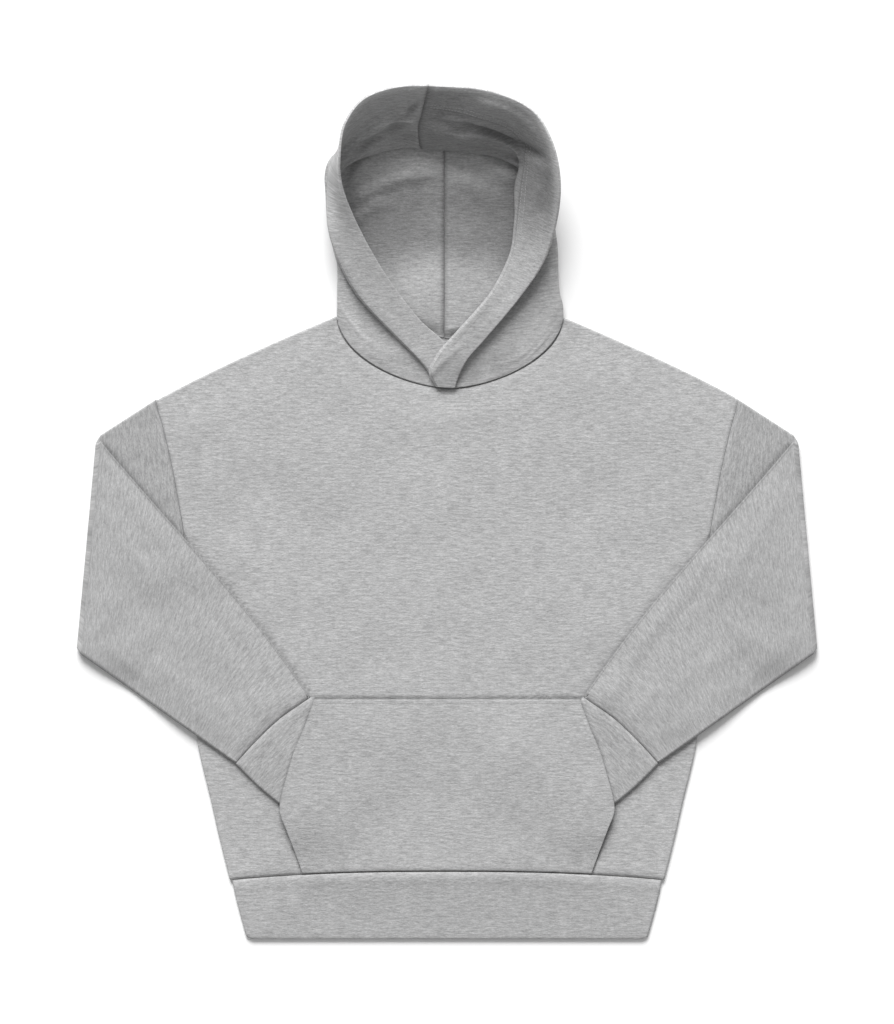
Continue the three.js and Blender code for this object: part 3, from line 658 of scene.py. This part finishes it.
def sleeve(side):
    """A tube from the armhole to the elbow, folded there and on to the cuff."""
    across, along_upper, along_forearm = (steps(count) for count in SLEEVE_CELLS)
    loop = tube_loop(np.linspace(0.02, 0.98, across))
    sign = 1 if side == "right" else -1
    upper_t = np.linspace(0, 0.96, along_upper)[:, None]
    turn = np.radians(np.linspace(-90, 90, ELBOW_ANGLES))[:, None]
    fore_t = np.linspace(0.02, 1, along_forearm)[:, None]
    grids = [
        np.concatenate([
            upper_sleeve(loop, upper_t, radius, sign), elbow_fold(loop, turn, radius),
            forearm(loop, fore_t, radius, side, sign)]) * (sign, 1, 1)
        for radius in (EDGE_RADIUS, EDGE_INNER)]
    run = np.concatenate([
        upper_t * (ELBOW_RUN - 3), ELBOW_RUN + 0 * turn, ELBOW_RUN + 2 + fore_t * FOREARM_RUN])
    width = np.concatenate([SLEEVE_WIDTH + 0 * upper_t, SLEEVE_WIDTH + 0 * turn,
                            mix(SLEEVE_WIDTH, CUFF_WIDTH, fore_t)])
    offset = BOLT_PLACE["sleeve_" + side] + BOLT_PLACE["sleeve_under"] * (loop[3] < 0)[None]
    grain = np.stack([(loop[0][None] - 0.5) * width + offset,
                      run + 0 * width + 0 * loop[0][None]], -1)
    tone = sleeve_tone_and_painted_shade(np.abs(grids[0][..., 0]), grids[0][..., 1], run, loop[0])
    return grids[0], grids[1], grain, tone


def cuff(side):
    """From the forearm's end into the pocket's mouth."""
    loop = tube_loop(np.linspace(0.03, 0.97, steps(CUFF_CELLS[0])))
    sign = 1 if side == "right" else -1
    t = np.linspace(0, 1, steps(CUFF_CELLS[1]) + 1)[:, None]
    grids = []
    for radius in (EDGE_RADIUS, EDGE_INNER):
        share, level = tube_place(loop, radius, CUFF_WIDTH + 0 * t, 0)
        seam = cuff_seam(share)
        away = cuff_end(share) - seam
        start = SEAM_GAP / np.linalg.norm(away, axis=-1)
        plan = seam + away * mix(start, 1, t)[..., None]
        x = plan[..., 0]
        y = plan[..., 1] - CUFF_BOW * np.sin(np.pi * t) * share
        z = STACK + EDGE_RADIUS - level + relief(sign * x, y)
        if radius == EDGE_RADIUS:
            upper = np.clip(-level / radius, 0, 1)
            z = z - sewn_down(x, y, CUFF_SEAM_LINE, 25) * upper
        grids.append(np.stack([sign * x, y, z], -1))
    offset = BOLT_PLACE["cuff_" + side] + BOLT_PLACE["cuff_under"] * (loop[3] < 0)[None]
    grain = np.stack([(loop[0][None] - 0.5) * CUFF_WIDTH + offset + 0 * t,
                      t * CUFF_RUN + 0 * loop[0][None]], -1)
    x, y = np.abs(grids[0][..., 0]), grids[0][..., 1]
    # The cuff a little darker, with painted shade where the pocket's edge lies on it
    tone = 0.93 * painted_groove_shade_and_light(x, y, (POCKET_EDGE,), 0.34, 2.0)
    return grids[0], grids[1], grain, tone


def beside_cuff(x, y):
    """Plan distance from the cuff, 0 over it."""
    ring = [CUFF_SEAM[0], CUFF_END[0], CUFF_END[1], CUFF_SEAM[-1]]
    return np.where(is_inside(x, y, ring), 0, distance(x, y, ring + ring[:1]))


def pocket():
    """One piece over the front, lifted over both cuffs."""
    columns = np.sin((np.linspace(0, 1, steps(POCKET_CELLS[0]) + 1) - 0.5) * np.pi)[None]
    rows = np.linspace(POCKET_FOOT_Y, POCKET_TOP_Y, steps(POCKET_CELLS[1]) + 1)[:, None]
    x = columns * lookup(POCKET_ROWS, rows)
    bottom = hem_seam_y(columns * POCKET_SHARE) + POCKET_CLEARANCE
    height = (rows - POCKET_FOOT_Y) / (POCKET_LEVEL_Y - POCKET_FOOT_Y)
    y = np.where(
        height < 1, np.maximum(rows, mix(bottom, POCKET_LEVEL_Y, height)), rows + 0 * columns)
    beside = beside_cuff(np.abs(x), y) - SAG_START - CUFF_BOW
    lift = (STACK + PLY_GAP) * (1 - ease(beside / POCKET_REACH))
    lift = lift * ease((rows - POCKET_FOOT_Y + 8) / 60)
    under = PLIES + SEAM_GAP + lift + relief(x, y)
    sewn = distance(x, y, POCKET_TOP_LINE)
    foot = distance(x, y, [(s * POCKET_FOOT_HALF, float(hem_seam_y(s * POCKET_SHARE)))
                           for s in np.linspace(-1, 1, 12)])
    over = under + CLOTH - 0.35 * np.exp(-((sewn - 6) / 1.6) ** 2)
    over = over - 0.8 * np.exp(-(foot / 3) ** 2) + pucker(x, y, sewn, 26)
    grain = np.stack([x, y], -1) + (0, 2.5)
    # Painted shade along the pocket's edges and its sewn top
    rim = 1 - 0.1 * np.exp(-(distance(np.abs(x), y, POCKET_EDGE) / 0.9) ** 2)
    rim = rim * (1 - 0.2 * np.exp(-((y - POCKET_TOP_Y) / 1.3) ** 2))
    return np.stack([x, y, over], -1), np.stack([x, y, under + 0 * x], -1), grain, 0.96 * rim


# Hood

# Creases by place on the panel: row share (neck to crown) and column share (rim to seam) at
# both ends, bow, width, height in mm towards the inside
HOOD_CREASES = {
    "left": [
        (0.62, 0.3, 0.98, 0.42, 0.02, 0.02, 5.5), (0.66, 0.44, 0.96, 0.5, -0.02, 0.018, -4.6),
        (0.5, 0.34, 0.84, 0.36, 0.01, 0.02, -2.4), (0.2, 0.36, 0.5, 0.42, 0.02, 0.024, 1.8),
        (0.74, 0.27, 0.99, 0.3, 0.01, 0.014, 3.4), (0.1, 0.5, 0.34, 0.46, 0.02, 0.025, -1.4),
    ],
    "right": [
        (0.56, 0.34, 0.9, 0.4, 0.02, 0.02, 5.0), (0.7, 0.46, 0.98, 0.48, -0.02, 0.018, -4.6),
        (0.34, 0.33, 0.64, 0.37, 0.01, 0.02, -2.0), (0.12, 0.42, 0.42, 0.46, 0.02, 0.026, 1.6),
        (0.78, 0.28, 1.0, 0.31, 0.01, 0.014, 3.2), (0.06, 0.24, 0.26, 0.1, 0.01, 0.02, 1.2),
    ],
}
# Troughs and ridges of the crown's inner wall, in plan: both ends, bow, width, height
HOOD_WALL_CREASES = {
    "left": [
        (-118, 386, -46, 440, -6, 4.2, 6.5), (-116, 388, -66, 448, 6, 9, -4.0),
        (-36, 452, -13, 474, 2, 5, -3.5), (-46, 449, -20, 466, -2, 3, 4.0),
        (-70, 420, -34, 424, 4, 5, 2.5),
    ],
    "right": [
        (18, 438, 110, 397, -5, 3.6, 6.5), (30, 462, 108, 424, -8, 9, -4.0),
        (-22, 446, 30, 436, -3, 7, 3.0),
        (-2, 428, 60, 420, -3, 6, 3.0), (104, 330, 112, 386, 3, 7, 2.5),
    ],
}
# Folds of the layers under the hood's hollow: x and y of both ends, bow, width, height
HOOD_FLOOR_CREASES = [
    (-117, 342, -12, 382, -10, 5.5, 6.0), (-106, 322, -70, 352, -4, 5, 4.5),
    (8, 376, 62, 345, -6, 10, 3.2), (25, 410, 88, 372, 6, 7, 5.0),
    (-60, 246, 66, 240, 4, 38, 5.5), (-30, 330, 40, 306, 5, 15, 2.6),
    (-122, 356, -58, 416, -8, 5, 5.5),
]
# Painted light and shade on the hood's cloth: side, columns (span shares), x, y, reach of both, change of
# tone
HOOD_PAINTED_LIGHT_AND_SHADE = [
    ("left", 4.9, 6.4, -100, 220, 34, 48, 0.17), ("right", 4.9, 6.4, 85, 200, 44, 48, 0.17),
    ("left", 0.0, 6.4, -131, 340, 9, 48, 0.26), ("right", 0.0, 2.4, 106, 342, 40, 50, -0.28),
    ("right", 0.0, 2.1, 35, 208, 32, 60, -0.14), ("right", 6.5, 9.2, 35, 325, 42, 50, -0.15),
    ("right", 6.5, 9.2, 30, 262, 32, 32, -0.09), ("left", 6.5, 9.2, -42, 330, 40, 40, -0.1),
    ("left", 6.5, 9.2, -34, 398, 44, 16, 0.24), ("right", 6.5, 9.2, 26, 396, 44, 15, 0.16),
]


def hood_section(row, direction):
    """Points across a panel from the rim, over the turned hem, down the wall and to the seam."""
    rim, turn = np.array(row[0:3], float), np.array(row[3:6], float)
    back, drop = row[6:8]
    middle, bulge = np.array(row[8:11], float), np.array(row[11:14], float)
    seam = np.array([HOOD_SEAM_X + direction * SEAM_GAP / 2, row[14], CLOTH / 2])
    tuck = mix(turn, np.array([rim[0], rim[1], turn[2]]), back)
    tuck[2] -= drop
    inwards = (seam - bulge) * (1, 1, 0)
    foot = bulge + HOOD_FOOT * inwards / np.linalg.norm(inwards)
    foot[2] = CLOTH / 2
    outwards = (turn - rim) * (1, 1, 0)
    bent = turn + HOOD_BEND * drop * outwards / np.linalg.norm(outwards)
    bend = mix(mix(turn, tuck, 0.5), bent, min(1, max(0, back / HOOD_FULL_BEND)))
    bend[2] = turn[2] - drop / 2
    return [rim, (rim + turn) / 2, turn, bend, tuck, middle, bulge, foot, (foot + seam) / 2, seam]


def hood_lines(table, direction):
    """Points over the panel, by row from the neck to the crown and column from rim to seam."""
    sections = np.array([hood_section(row, direction) for row in table])
    controls = spline(sections, np.linspace(0, 1, steps(HOOD_ROW_CELLS) + 1))
    counts = [steps(count) for count in HOOD_SPANS]
    share = np.concatenate(
        [span + np.arange(count) / count for span, count in enumerate(counts)] + [[len(counts)]])
    lines = spline(np.swapaxes(controls, 0, 1), share / len(counts))
    lines = np.swapaxes(lines, 0, 1)
    lines[..., 2] = np.maximum(lines[..., 2], CLOTH / 2)
    limit = NECK_HALF - NECK_INSET - CLOTH / 2 - SEAM_GAP
    foot = lines[0].copy()
    foot[:, 0] = NECK_CENTRE_X + np.clip(foot[:, 0] - NECK_CENTRE_X, -limit, limit)
    foot[:, 1] = np.where(share <= 6, neck_front_y(foot[:, 0], NECK_INSET),
                          neck_back_y(foot[:, 0], NECK_INSET))
    rows = np.linspace(0, 1, len(lines))[:, None, None]
    return lines + (foot - lines[0]) * (1 - ease(rows / 0.07)), share


def hood_normals(lines, others, share, direction):
    """Towards the face side of the cloth; others is the panel beyond the crown's seam."""
    ahead = np.concatenate([lines[1:], others[-2:-1]])
    behind = np.concatenate([lines[:1], lines[:-1]])
    along_rows = ahead - behind
    along_rows[0, :, 2] = 0
    along_row = np.concatenate([lines[:, 1:], lines[:, -1:]], 1) - np.concatenate(
        [lines[:, :1], lines[:, :-1]], 1)
    normal = np.cross(along_rows, along_row)
    size = np.linalg.norm(normal, axis=-1, keepdims=True)
    normal = -direction * normal / np.maximum(size, 1e-9)
    normal = np.where(size < 1e-4, np.array([direction, 0.0, 0.0]), normal)
    flat = ease((share - 7.0) / 0.5)[None, :, None]
    return unit(mix(normal, np.array([0, 0, -1.0]), flat))


def hood_painted_light_and_shade(x, y, rows, share, name, wall_fold):
    """Painted shade that the hollow, its folds and its seams would hold, and painted light on the rim and
    on some spots.
    """
    on_floor = ease((share - 6.2) / 0.5)[None]
    # Painted shade deep in the hollow, darker towards the crown, and on the inner walls
    deep = ease((y + 0.25 * np.abs(x) - 265) / 55) * on_floor
    deep = deep * (1 - 0.9 * ease((y - 345) / 50))
    wall = ease((y - 290) / 70) * ease((share - 0.15) / 0.25)[None]
    wall = wall * ease((5.3 - share) / 0.6)[None] * (1.0 if name == "right" else 0.25)
    tone = (1 - 0.34 * deep) * (1 - 0.3 * wall)
    # Painted light and shade on the floor's folds, lighter where they face the crown's side, and painted
    # shade in the wall's creases
    above, below = (creases(x, y + offset, HOOD_FLOOR_CREASES) for offset in (2.5, -2.5))
    lean = np.clip((above - below) / 5, -0.8, 0.8) * ease((share - 6.7) / 0.6)[None]
    tone = tone * (1 - 0.048 * np.clip(wall_fold, -2, 6.5)) * (1 - 0.22 * lean)
    # Painted highlight along the rim towards the crown
    edge = np.exp(-(share / 0.42) ** 2)[None] * ease((y - 330) / 70)
    tone = tone * (1 + 0.36 * edge)
    # Painted shade on the right of the hollow's floor
    tone = tone * (1 - 0.13 * ease((x - 30) / 50) * ease((y - 250) / 60) * on_floor)
    # Spots of painted light and shade from the table
    for side, low, high, at_x, at_y, reach_x, reach_y, change in HOOD_PAINTED_LIGHT_AND_SHADE:
        if side == name:
            held = ease((share - low + 0.2) / 0.4) * ease((high - share) / 0.3)
            spot = np.exp(-((x - at_x) / reach_x) ** 2 - ((y - at_y) / reach_y) ** 2)
            tone = tone * (1 + change * held * spot)
    # Painted shade along the centre seam, the turned hem's edge and the crown's seam
    seam = np.exp(-((x - HOOD_SEAM_X) / 1.0) ** 2) * ease(share - 6.5)[None]
    hem = np.exp(-((share - 1.97) / 0.05) ** 2)[None]
    crown = np.exp(-((1 - rows) / 0.006) ** 2)
    return tone * (1 - 0.2 * seam) * (1 - 0.25 * hem) * (1 - 0.35 * crown)


def hood_panel(lines, others, share, direction):
    """Half of the hood: its two faces, grain, painted light and shade, and normals."""
    normal = hood_normals(lines, others, share, direction)
    rows = np.linspace(0, 1, len(lines))[:, None]
    across = (share / share[-1])[None]
    name = "left" if direction < 0 else "right"
    sag = creases(rows + 0 * across, across + 0 * rows, HOOD_CREASES[name])
    sag = sag + 0.9 * noise(rows * 420, across * 520, 41 + direction, 120)
    sag = sag + 0.3 * noise(rows * 420, across * 520, 45 + direction, 38)
    free = ease(rows / 0.07) * ease((1 - rows) / 0.05) * ease((share - 0.2) / 1.6)[None]
    free = free * ease((6.1 - share) / 0.7)[None]
    wall_fold = creases(lines[..., 0], lines[..., 1], HOOD_WALL_CREASES[name])
    wall_fold = wall_fold * ease((4.9 - share) / 0.7)[None] * ease((rows - 0.3) / 0.1)
    kept = ease((1 - rows) / 0.03) * ease((share - 0.1) / 0.5)[None]
    sag = sag - wall_fold * kept / np.maximum(free, 0.2)
    lines = lines - normal * (sag * free)[..., None]
    band = ease((2.06 - share) / 0.06)[None]
    thick = mix(CLOTH, HEM_CLOTH, band) + 0 * rows
    lines = lines.copy()
    back = lines[-2] - lines[-1]
    lines[-1] += CROWN_GAP * back / np.linalg.norm(back, axis=-1, keepdims=True)
    fold = creases(lines[..., 0], lines[..., 1], HOOD_FLOOR_CREASES)
    fold = np.maximum(fold + 1.5 + noise(lines[..., 0], lines[..., 1], 51, 60), 0)
    fold = fold * ease(np.abs(lines[..., 0] - HOOD_SEAM_X) / 9 + 0.45)
    fold = fold * ease((share - 6.7) / 0.6)[None] * ease(rows / 0.12)
    grids = []
    for side in (1, -1):
        moved = lines + normal * (side * thick / 2)[..., None]
        moved[..., 2] += fold * (0.97 if side > 0 else 1)
        moved[..., 2] = np.maximum(moved[..., 2], 0)
        grids.append(moved)
    grain = np.stack([lines[..., 0] + direction * 0.7 * lines[..., 2],
                      lines[..., 1] + 0.8 * lines[..., 2]], -1)
    tone = hood_painted_light_and_shade(lines[..., 0], lines[..., 1], rows, share, name, wall_fold)
    return grids[0], grids[1], grain + BOLT_PLACE["hood_" + name], tone, normal


# Cloth finish
def marl_fleece(name, tone):
    """Heather grey fleece: pale and dark fibres in short streaks along the courses."""
    material = bpy.data.materials.new(name)
    material.use_nodes = True
    nodes, links = material.node_tree.nodes, material.node_tree.links
    nodes.clear()

    def node(kind, **values):
        made = nodes.new(kind)
        for key, value in values.items():
            if key in made.inputs:
                made.inputs[key].default_value = value
            else:
                setattr(made, key, value)
        return made

    def streaks(scale, detail, rough):
        mapping = node("ShaderNodeMapping")
        mapping.inputs["Scale"].default_value = scale
        links.new(grain.outputs["UV"], mapping.inputs["Vector"])
        pattern = node("ShaderNodeTexNoise", noise_dimensions="2D", Scale=1.0, Detail=detail,
                       Roughness=rough)
        links.new(mapping.outputs["Vector"], pattern.inputs["Vector"])
        return pattern.outputs["Fac"]

    def spread(value, low, high, to_low, to_high):
        ranged = node("ShaderNodeMapRange", **{
            "From Min": low, "From Max": high, "To Min": to_low, "To Max": to_high})
        links.new(value, ranged.inputs["Value"])
        return ranged.outputs["Result"]

    def join(operation, first, second):
        made = node("ShaderNodeMath", operation=operation)
        for socket, value in zip(made.inputs, (first, second)):
            if isinstance(value, (int, float)):
                socket.default_value = value
            else:
                links.new(value, socket)
        return made.outputs[0]

    grain = node("ShaderNodeUVMap", uv_map="grain")
    long_streaks = spread(streaks((72, 430, 1), 3.0, 0.65), 0.3, 0.7, 0.81, 1.18)
    short_streaks = spread(streaks((260, 900, 1), 2.0, 0.7), 0.3, 0.7, 0.84, 1.15)
    flecks = spread(streaks((420, 1500, 1), 1.0, 0.5), 0.66, 0.78, 1.0, 0.72)
    clouds = spread(streaks((7, 9, 1), 2.0, 0.5), 0.3, 0.7, 0.975, 1.025)
    shade = join("MULTIPLY", join("MULTIPLY", long_streaks, short_streaks),
                 join("MULTIPLY", flecks, clouds))
    # The tone attribute: painted light and shade, with each piece's own tone
    painted_shade_and_tone = node("ShaderNodeAttribute", attribute_name="tone")
    shade = join("MULTIPLY", join("MULTIPLY", shade, tone), painted_shade_and_tone.outputs["Fac"])
    colour = node("ShaderNodeCombineColor")
    for channel, share in (("Red", 1.0), ("Green", 1.0), ("Blue", 1.004)):
        links.new(join("MULTIPLY", shade, share), colour.inputs[channel])
    nap = join("ADD", streaks((900, 1300, 1), 3.0, 0.7),
               join("MULTIPLY", streaks((160, 420, 1), 2.0, 0.6), 0.8))
    bump = node("ShaderNodeBump", Strength=0.55, Distance=0.0006)
    links.new(nap, bump.inputs["Height"])
    cloth = node("ShaderNodeBsdfPrincipled", Roughness=0.95, **{
        "Specular IOR Level": 0.15, "Sheen Weight": 0.12, "Sheen Roughness": 0.6})
    links.new(colour.outputs["Color"], cloth.inputs["Base Color"])
    links.new(bump.outputs["Normal"], cloth.inputs["Normal"])
    out = node("ShaderNodeOutputMaterial")
    links.new(cloth.outputs["BSDF"], out.inputs["Surface"])
    return material


def plain_material(name, grey, roughness, specular):
    material = bpy.data.materials.new(name)
    material.use_nodes = True
    inputs = material.node_tree.nodes["Principled BSDF"].inputs
    inputs["Base Color"].default_value = (grey, grey, grey, 1)
    inputs["Roughness"].default_value = roughness
    inputs["Specular IOR Level"].default_value = specular
    return material


MARL = marl_fleece("marl_fleece", 0.4)
MARL_DEEP = marl_fleece("marl_fleece_bands", 0.375)

# Pieces
left_lines, hood_share = hood_lines(HOOD_LEFT_ROWS, -1)
right_lines, _ = hood_lines(HOOD_RIGHT_ROWS, 1)
hood_grids = []
made = {
    "back_body": shell("back_panel", False, MARL, *body_panel(-1)),
    "front_body": shell("front_panel", False, MARL, *body_panel(1)),
    "hem_band": shell("hem", True, MARL_DEEP, *hem_band()),
    "pocket": shell("kangaroo_pocket", False, MARL, *pocket()),
}
for side in ("left", "right"):
    made["sleeve_" + side] = shell("arm_" + side, True, MARL, *sleeve(side))
    made["cuff_" + side] = shell("cuff_cloth_" + side, True, MARL_DEEP, *cuff(side))
for side, lines, others, direction in (
        ("left", left_lines, right_lines, -1), ("right", right_lines, left_lines, 1)):
    panel = hood_panel(lines, others, hood_share, direction)
    made["hood_" + side] = shell("hood_cloth_" + side, False, MARL, *panel[:4])
    hood_grids.append(panel)
for node_name, piece in made.items():
    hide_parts(node_name)

# Topstitching
STITCH_INSET = 4.5
# Rows round the hood's hem, by column (span share)
HEM_STITCH_ROWS = (1.72, 1.87)


def stitches(path, up, pitch=3.4, length=2.5, radius=0.24):
    """Raised thread along a line of points on the cloth; up is the cloth's normal there."""
    run = run_along(path)
    centres = np.arange(pitch / 2, run[-1], pitch)

    def at(values, where):
        return np.stack([np.interp(where, run, values[:, k]) for k in range(3)], -1)

    along = unit(at(path, centres + 0.6) - at(path, centres - 0.6))
    rise = unit(at(up, centres))
    across = np.cross(along, rise)
    turn = np.arange(6) * math.pi / 3
    rings = []
    for place, size in ((-1, 0.3), (-0.6, 0.9), (0, 1), (0.6, 0.9), (1, 0.3)):
        middle = at(path, centres) + along * (place * length / 2) + rise * (0.12 - 0.3 * place ** 2)
        rings.append(np.stack([
            middle + radius * size * (across * math.cos(a) + rise * math.sin(a)) for a in turn], 1))
    points = np.stack(rings, 1).reshape(-1, 3)
    base = np.arange(len(centres))[:, None] * 30
    quads = np.array([[r * 6 + k, r * 6 + (k + 1) % 6, r * 6 + 6 + (k + 1) % 6, r * 6 + 6 + k]
                      for r in range(4) for k in range(6)])
    caps = np.array([[5, 4, 3, 2, 1, 0], [24, 25, 26, 27, 28, 29]])
    faces = [(base + quads.reshape(1, -1)).reshape(-1, 4), (base + caps.reshape(1, -1)).reshape(-1, 6)]
    return points, faces


def on_cloth(piece, line, step=1.5):
    """A plan line laid on the upper face of a piece."""
    tree = BVHTree.FromObject(piece, bpy.context.evaluated_depsgraph_get())
    line = np.array(line, float)
    run = run_along(line)
    where = np.arange(0, run[-1], step)
    path, up = [], []
    for x, y in zip(np.interp(where, run, line[:, 0]), np.interp(where, run, line[:, 1])):
        spot, normal, _, _ = tree.ray_cast((x / 1000, y / 1000, 0.3), (0, 0, -1))
        if spot:
            path.append(np.array(spot) * 1000)
            up.append(normal)
    return np.array(path), np.array(up)


def inset_half(line, inset):
    """The pocket's outline, right half, moved inwards."""
    line = np.array(line, float)
    way = unit(np.gradient(line, axis=0))
    return line + np.stack([-way[:, 1], way[:, 0]], 1) * inset


def pocket_lines():
    heights = np.linspace(-404, -213, 60)
    edge = np.stack([lookup(POCKET_ROWS, heights), heights], 1)
    half = inset_half(edge, STITCH_INSET)
    top = POCKET_TOP_Y - STITCH_INSET
    reach = lookup(POCKET_ROWS, top) - 6
    return [half, half * (-1, 1), np.array([(-reach, top), (reach, top)])]


threads = [stitches(*on_cloth(made["pocket"], line)) for line in pocket_lines()]
for outer, inner, _, _, normal in hood_grids:
    for place in HEM_STITCH_ROWS:
        column = int(np.argmin(np.abs(hood_share - place)))
        is_outer = outer[:, column, 2] > inner[:, column, 2]
        path = np.where(is_outer[:, None], outer[:, column], inner[:, column])
        up = np.where(is_outer[:, None], normal[:, column], -normal[:, column])
        cut = slice(3, -2)
        threads.append(stitches(path[cut], up[cut]))
points, faces, start = [], [], 0
for thread_points, thread_faces in threads:
    points.append(thread_points)
    faces += [face for part in thread_faces for face in (part + start).tolist()]
    start += len(thread_points)
mesh = bpy.data.meshes.new("topstitching")
mesh.from_pydata((np.concatenate(points) * 0.001).tolist(), [], faces)
mesh.shade_smooth()
mesh.materials.append(plain_material("grey_thread", 0.42, 0.6, 0.5))
topstitching = bpy.data.objects.new("topstitching", mesh)
bpy.context.scene.collection.objects.link(topstitching)
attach(topstitching, "root")

# The cut of each piece
# Flat width and length (all round on a tube), area, and what it lies on; metres
CUTS = {
    "back_body": (0.657, 0.61, 0.33, []),
    "front_body": (0.657, 0.61, 0.32, ["back_body"]),
    "hem_band": (0.96, 0.078, 0.07, []),
    "pocket": (0.378, 0.2, 0.07, ["front_body"]),
    "sleeve_left": (0.48, 0.43, 0.15, ["front_body"]),
    "sleeve_right": (0.48, 0.43, 0.15, ["front_body"]),
    "cuff_left": (0.23, 0.09, 0.018, ["front_body"]),
    "cuff_right": (0.23, 0.09, 0.018, ["front_body"]),
    "hood_left": (0.34, 0.42, 0.08, []),
    "hood_right": (0.34, 0.42, 0.09, []),
}
for node_name, (width, length, area, under) in CUTS.items():
    piece = made[node_name]

# Floor, light, camera
FLOOR_GREY = 0.93
WORLD_STRENGTH = 0.4
KEY_TOWARDS = (-0.12, 0.83, 0.56)
KEY_STRENGTH = 4.75
KEY_SPREAD_DEGREES = 38
LENS_MM = 900
SENSOR_MM = 36
VIEW_HEIGHT = 1.157  # metres of floor from the picture's top to its bottom
bpy.ops.mesh.primitive_plane_add(size=60, location=(0, 0, -0.0005))
floor = bpy.context.object
floor.name = "floor"
floor.data.materials.append(plain_material("pale_floor", FLOOR_GREY, 1.0, 0.0))

world = bpy.data.worlds.new("studio")
world.use_nodes = True
background = world.node_tree.nodes["Background"]
background.inputs["Color"].default_value = (1, 1, 1, 1)
background.inputs["Strength"].default_value = WORLD_STRENGTH
bpy.context.scene.world = world


def sun(name, towards, strength, spread_degrees):
    light = bpy.data.lights.new(name, "SUN")
    light.energy = strength
    light.angle = math.radians(spread_degrees)
    lamp = bpy.data.objects.new(name, light)
    z = np.array(towards, float) / np.linalg.norm(towards)
    x = np.cross((0, 1, 0), z)
    x /= np.linalg.norm(x)
    lamp.matrix_world = Matrix(np.column_stack([x, np.cross(z, x), z]).tolist()).to_4x4()
    bpy.context.scene.collection.objects.link(lamp)


sun("key", KEY_TOWARDS, KEY_STRENGTH, KEY_SPREAD_DEGREES)

camera_data = bpy.data.cameras.new("camera")
camera_data.lens = LENS_MM
camera_data.sensor_width = SENSOR_MM
camera_data.clip_end = 100
camera = bpy.data.objects.new("camera", camera_data)
camera.location = (0, 0, VIEW_HEIGHT * LENS_MM / SENSOR_MM)
bpy.context.scene.collection.objects.link(camera)
bpy.context.scene.camera = camera
bpy.context.scene.view_settings.view_transform = "Standard"
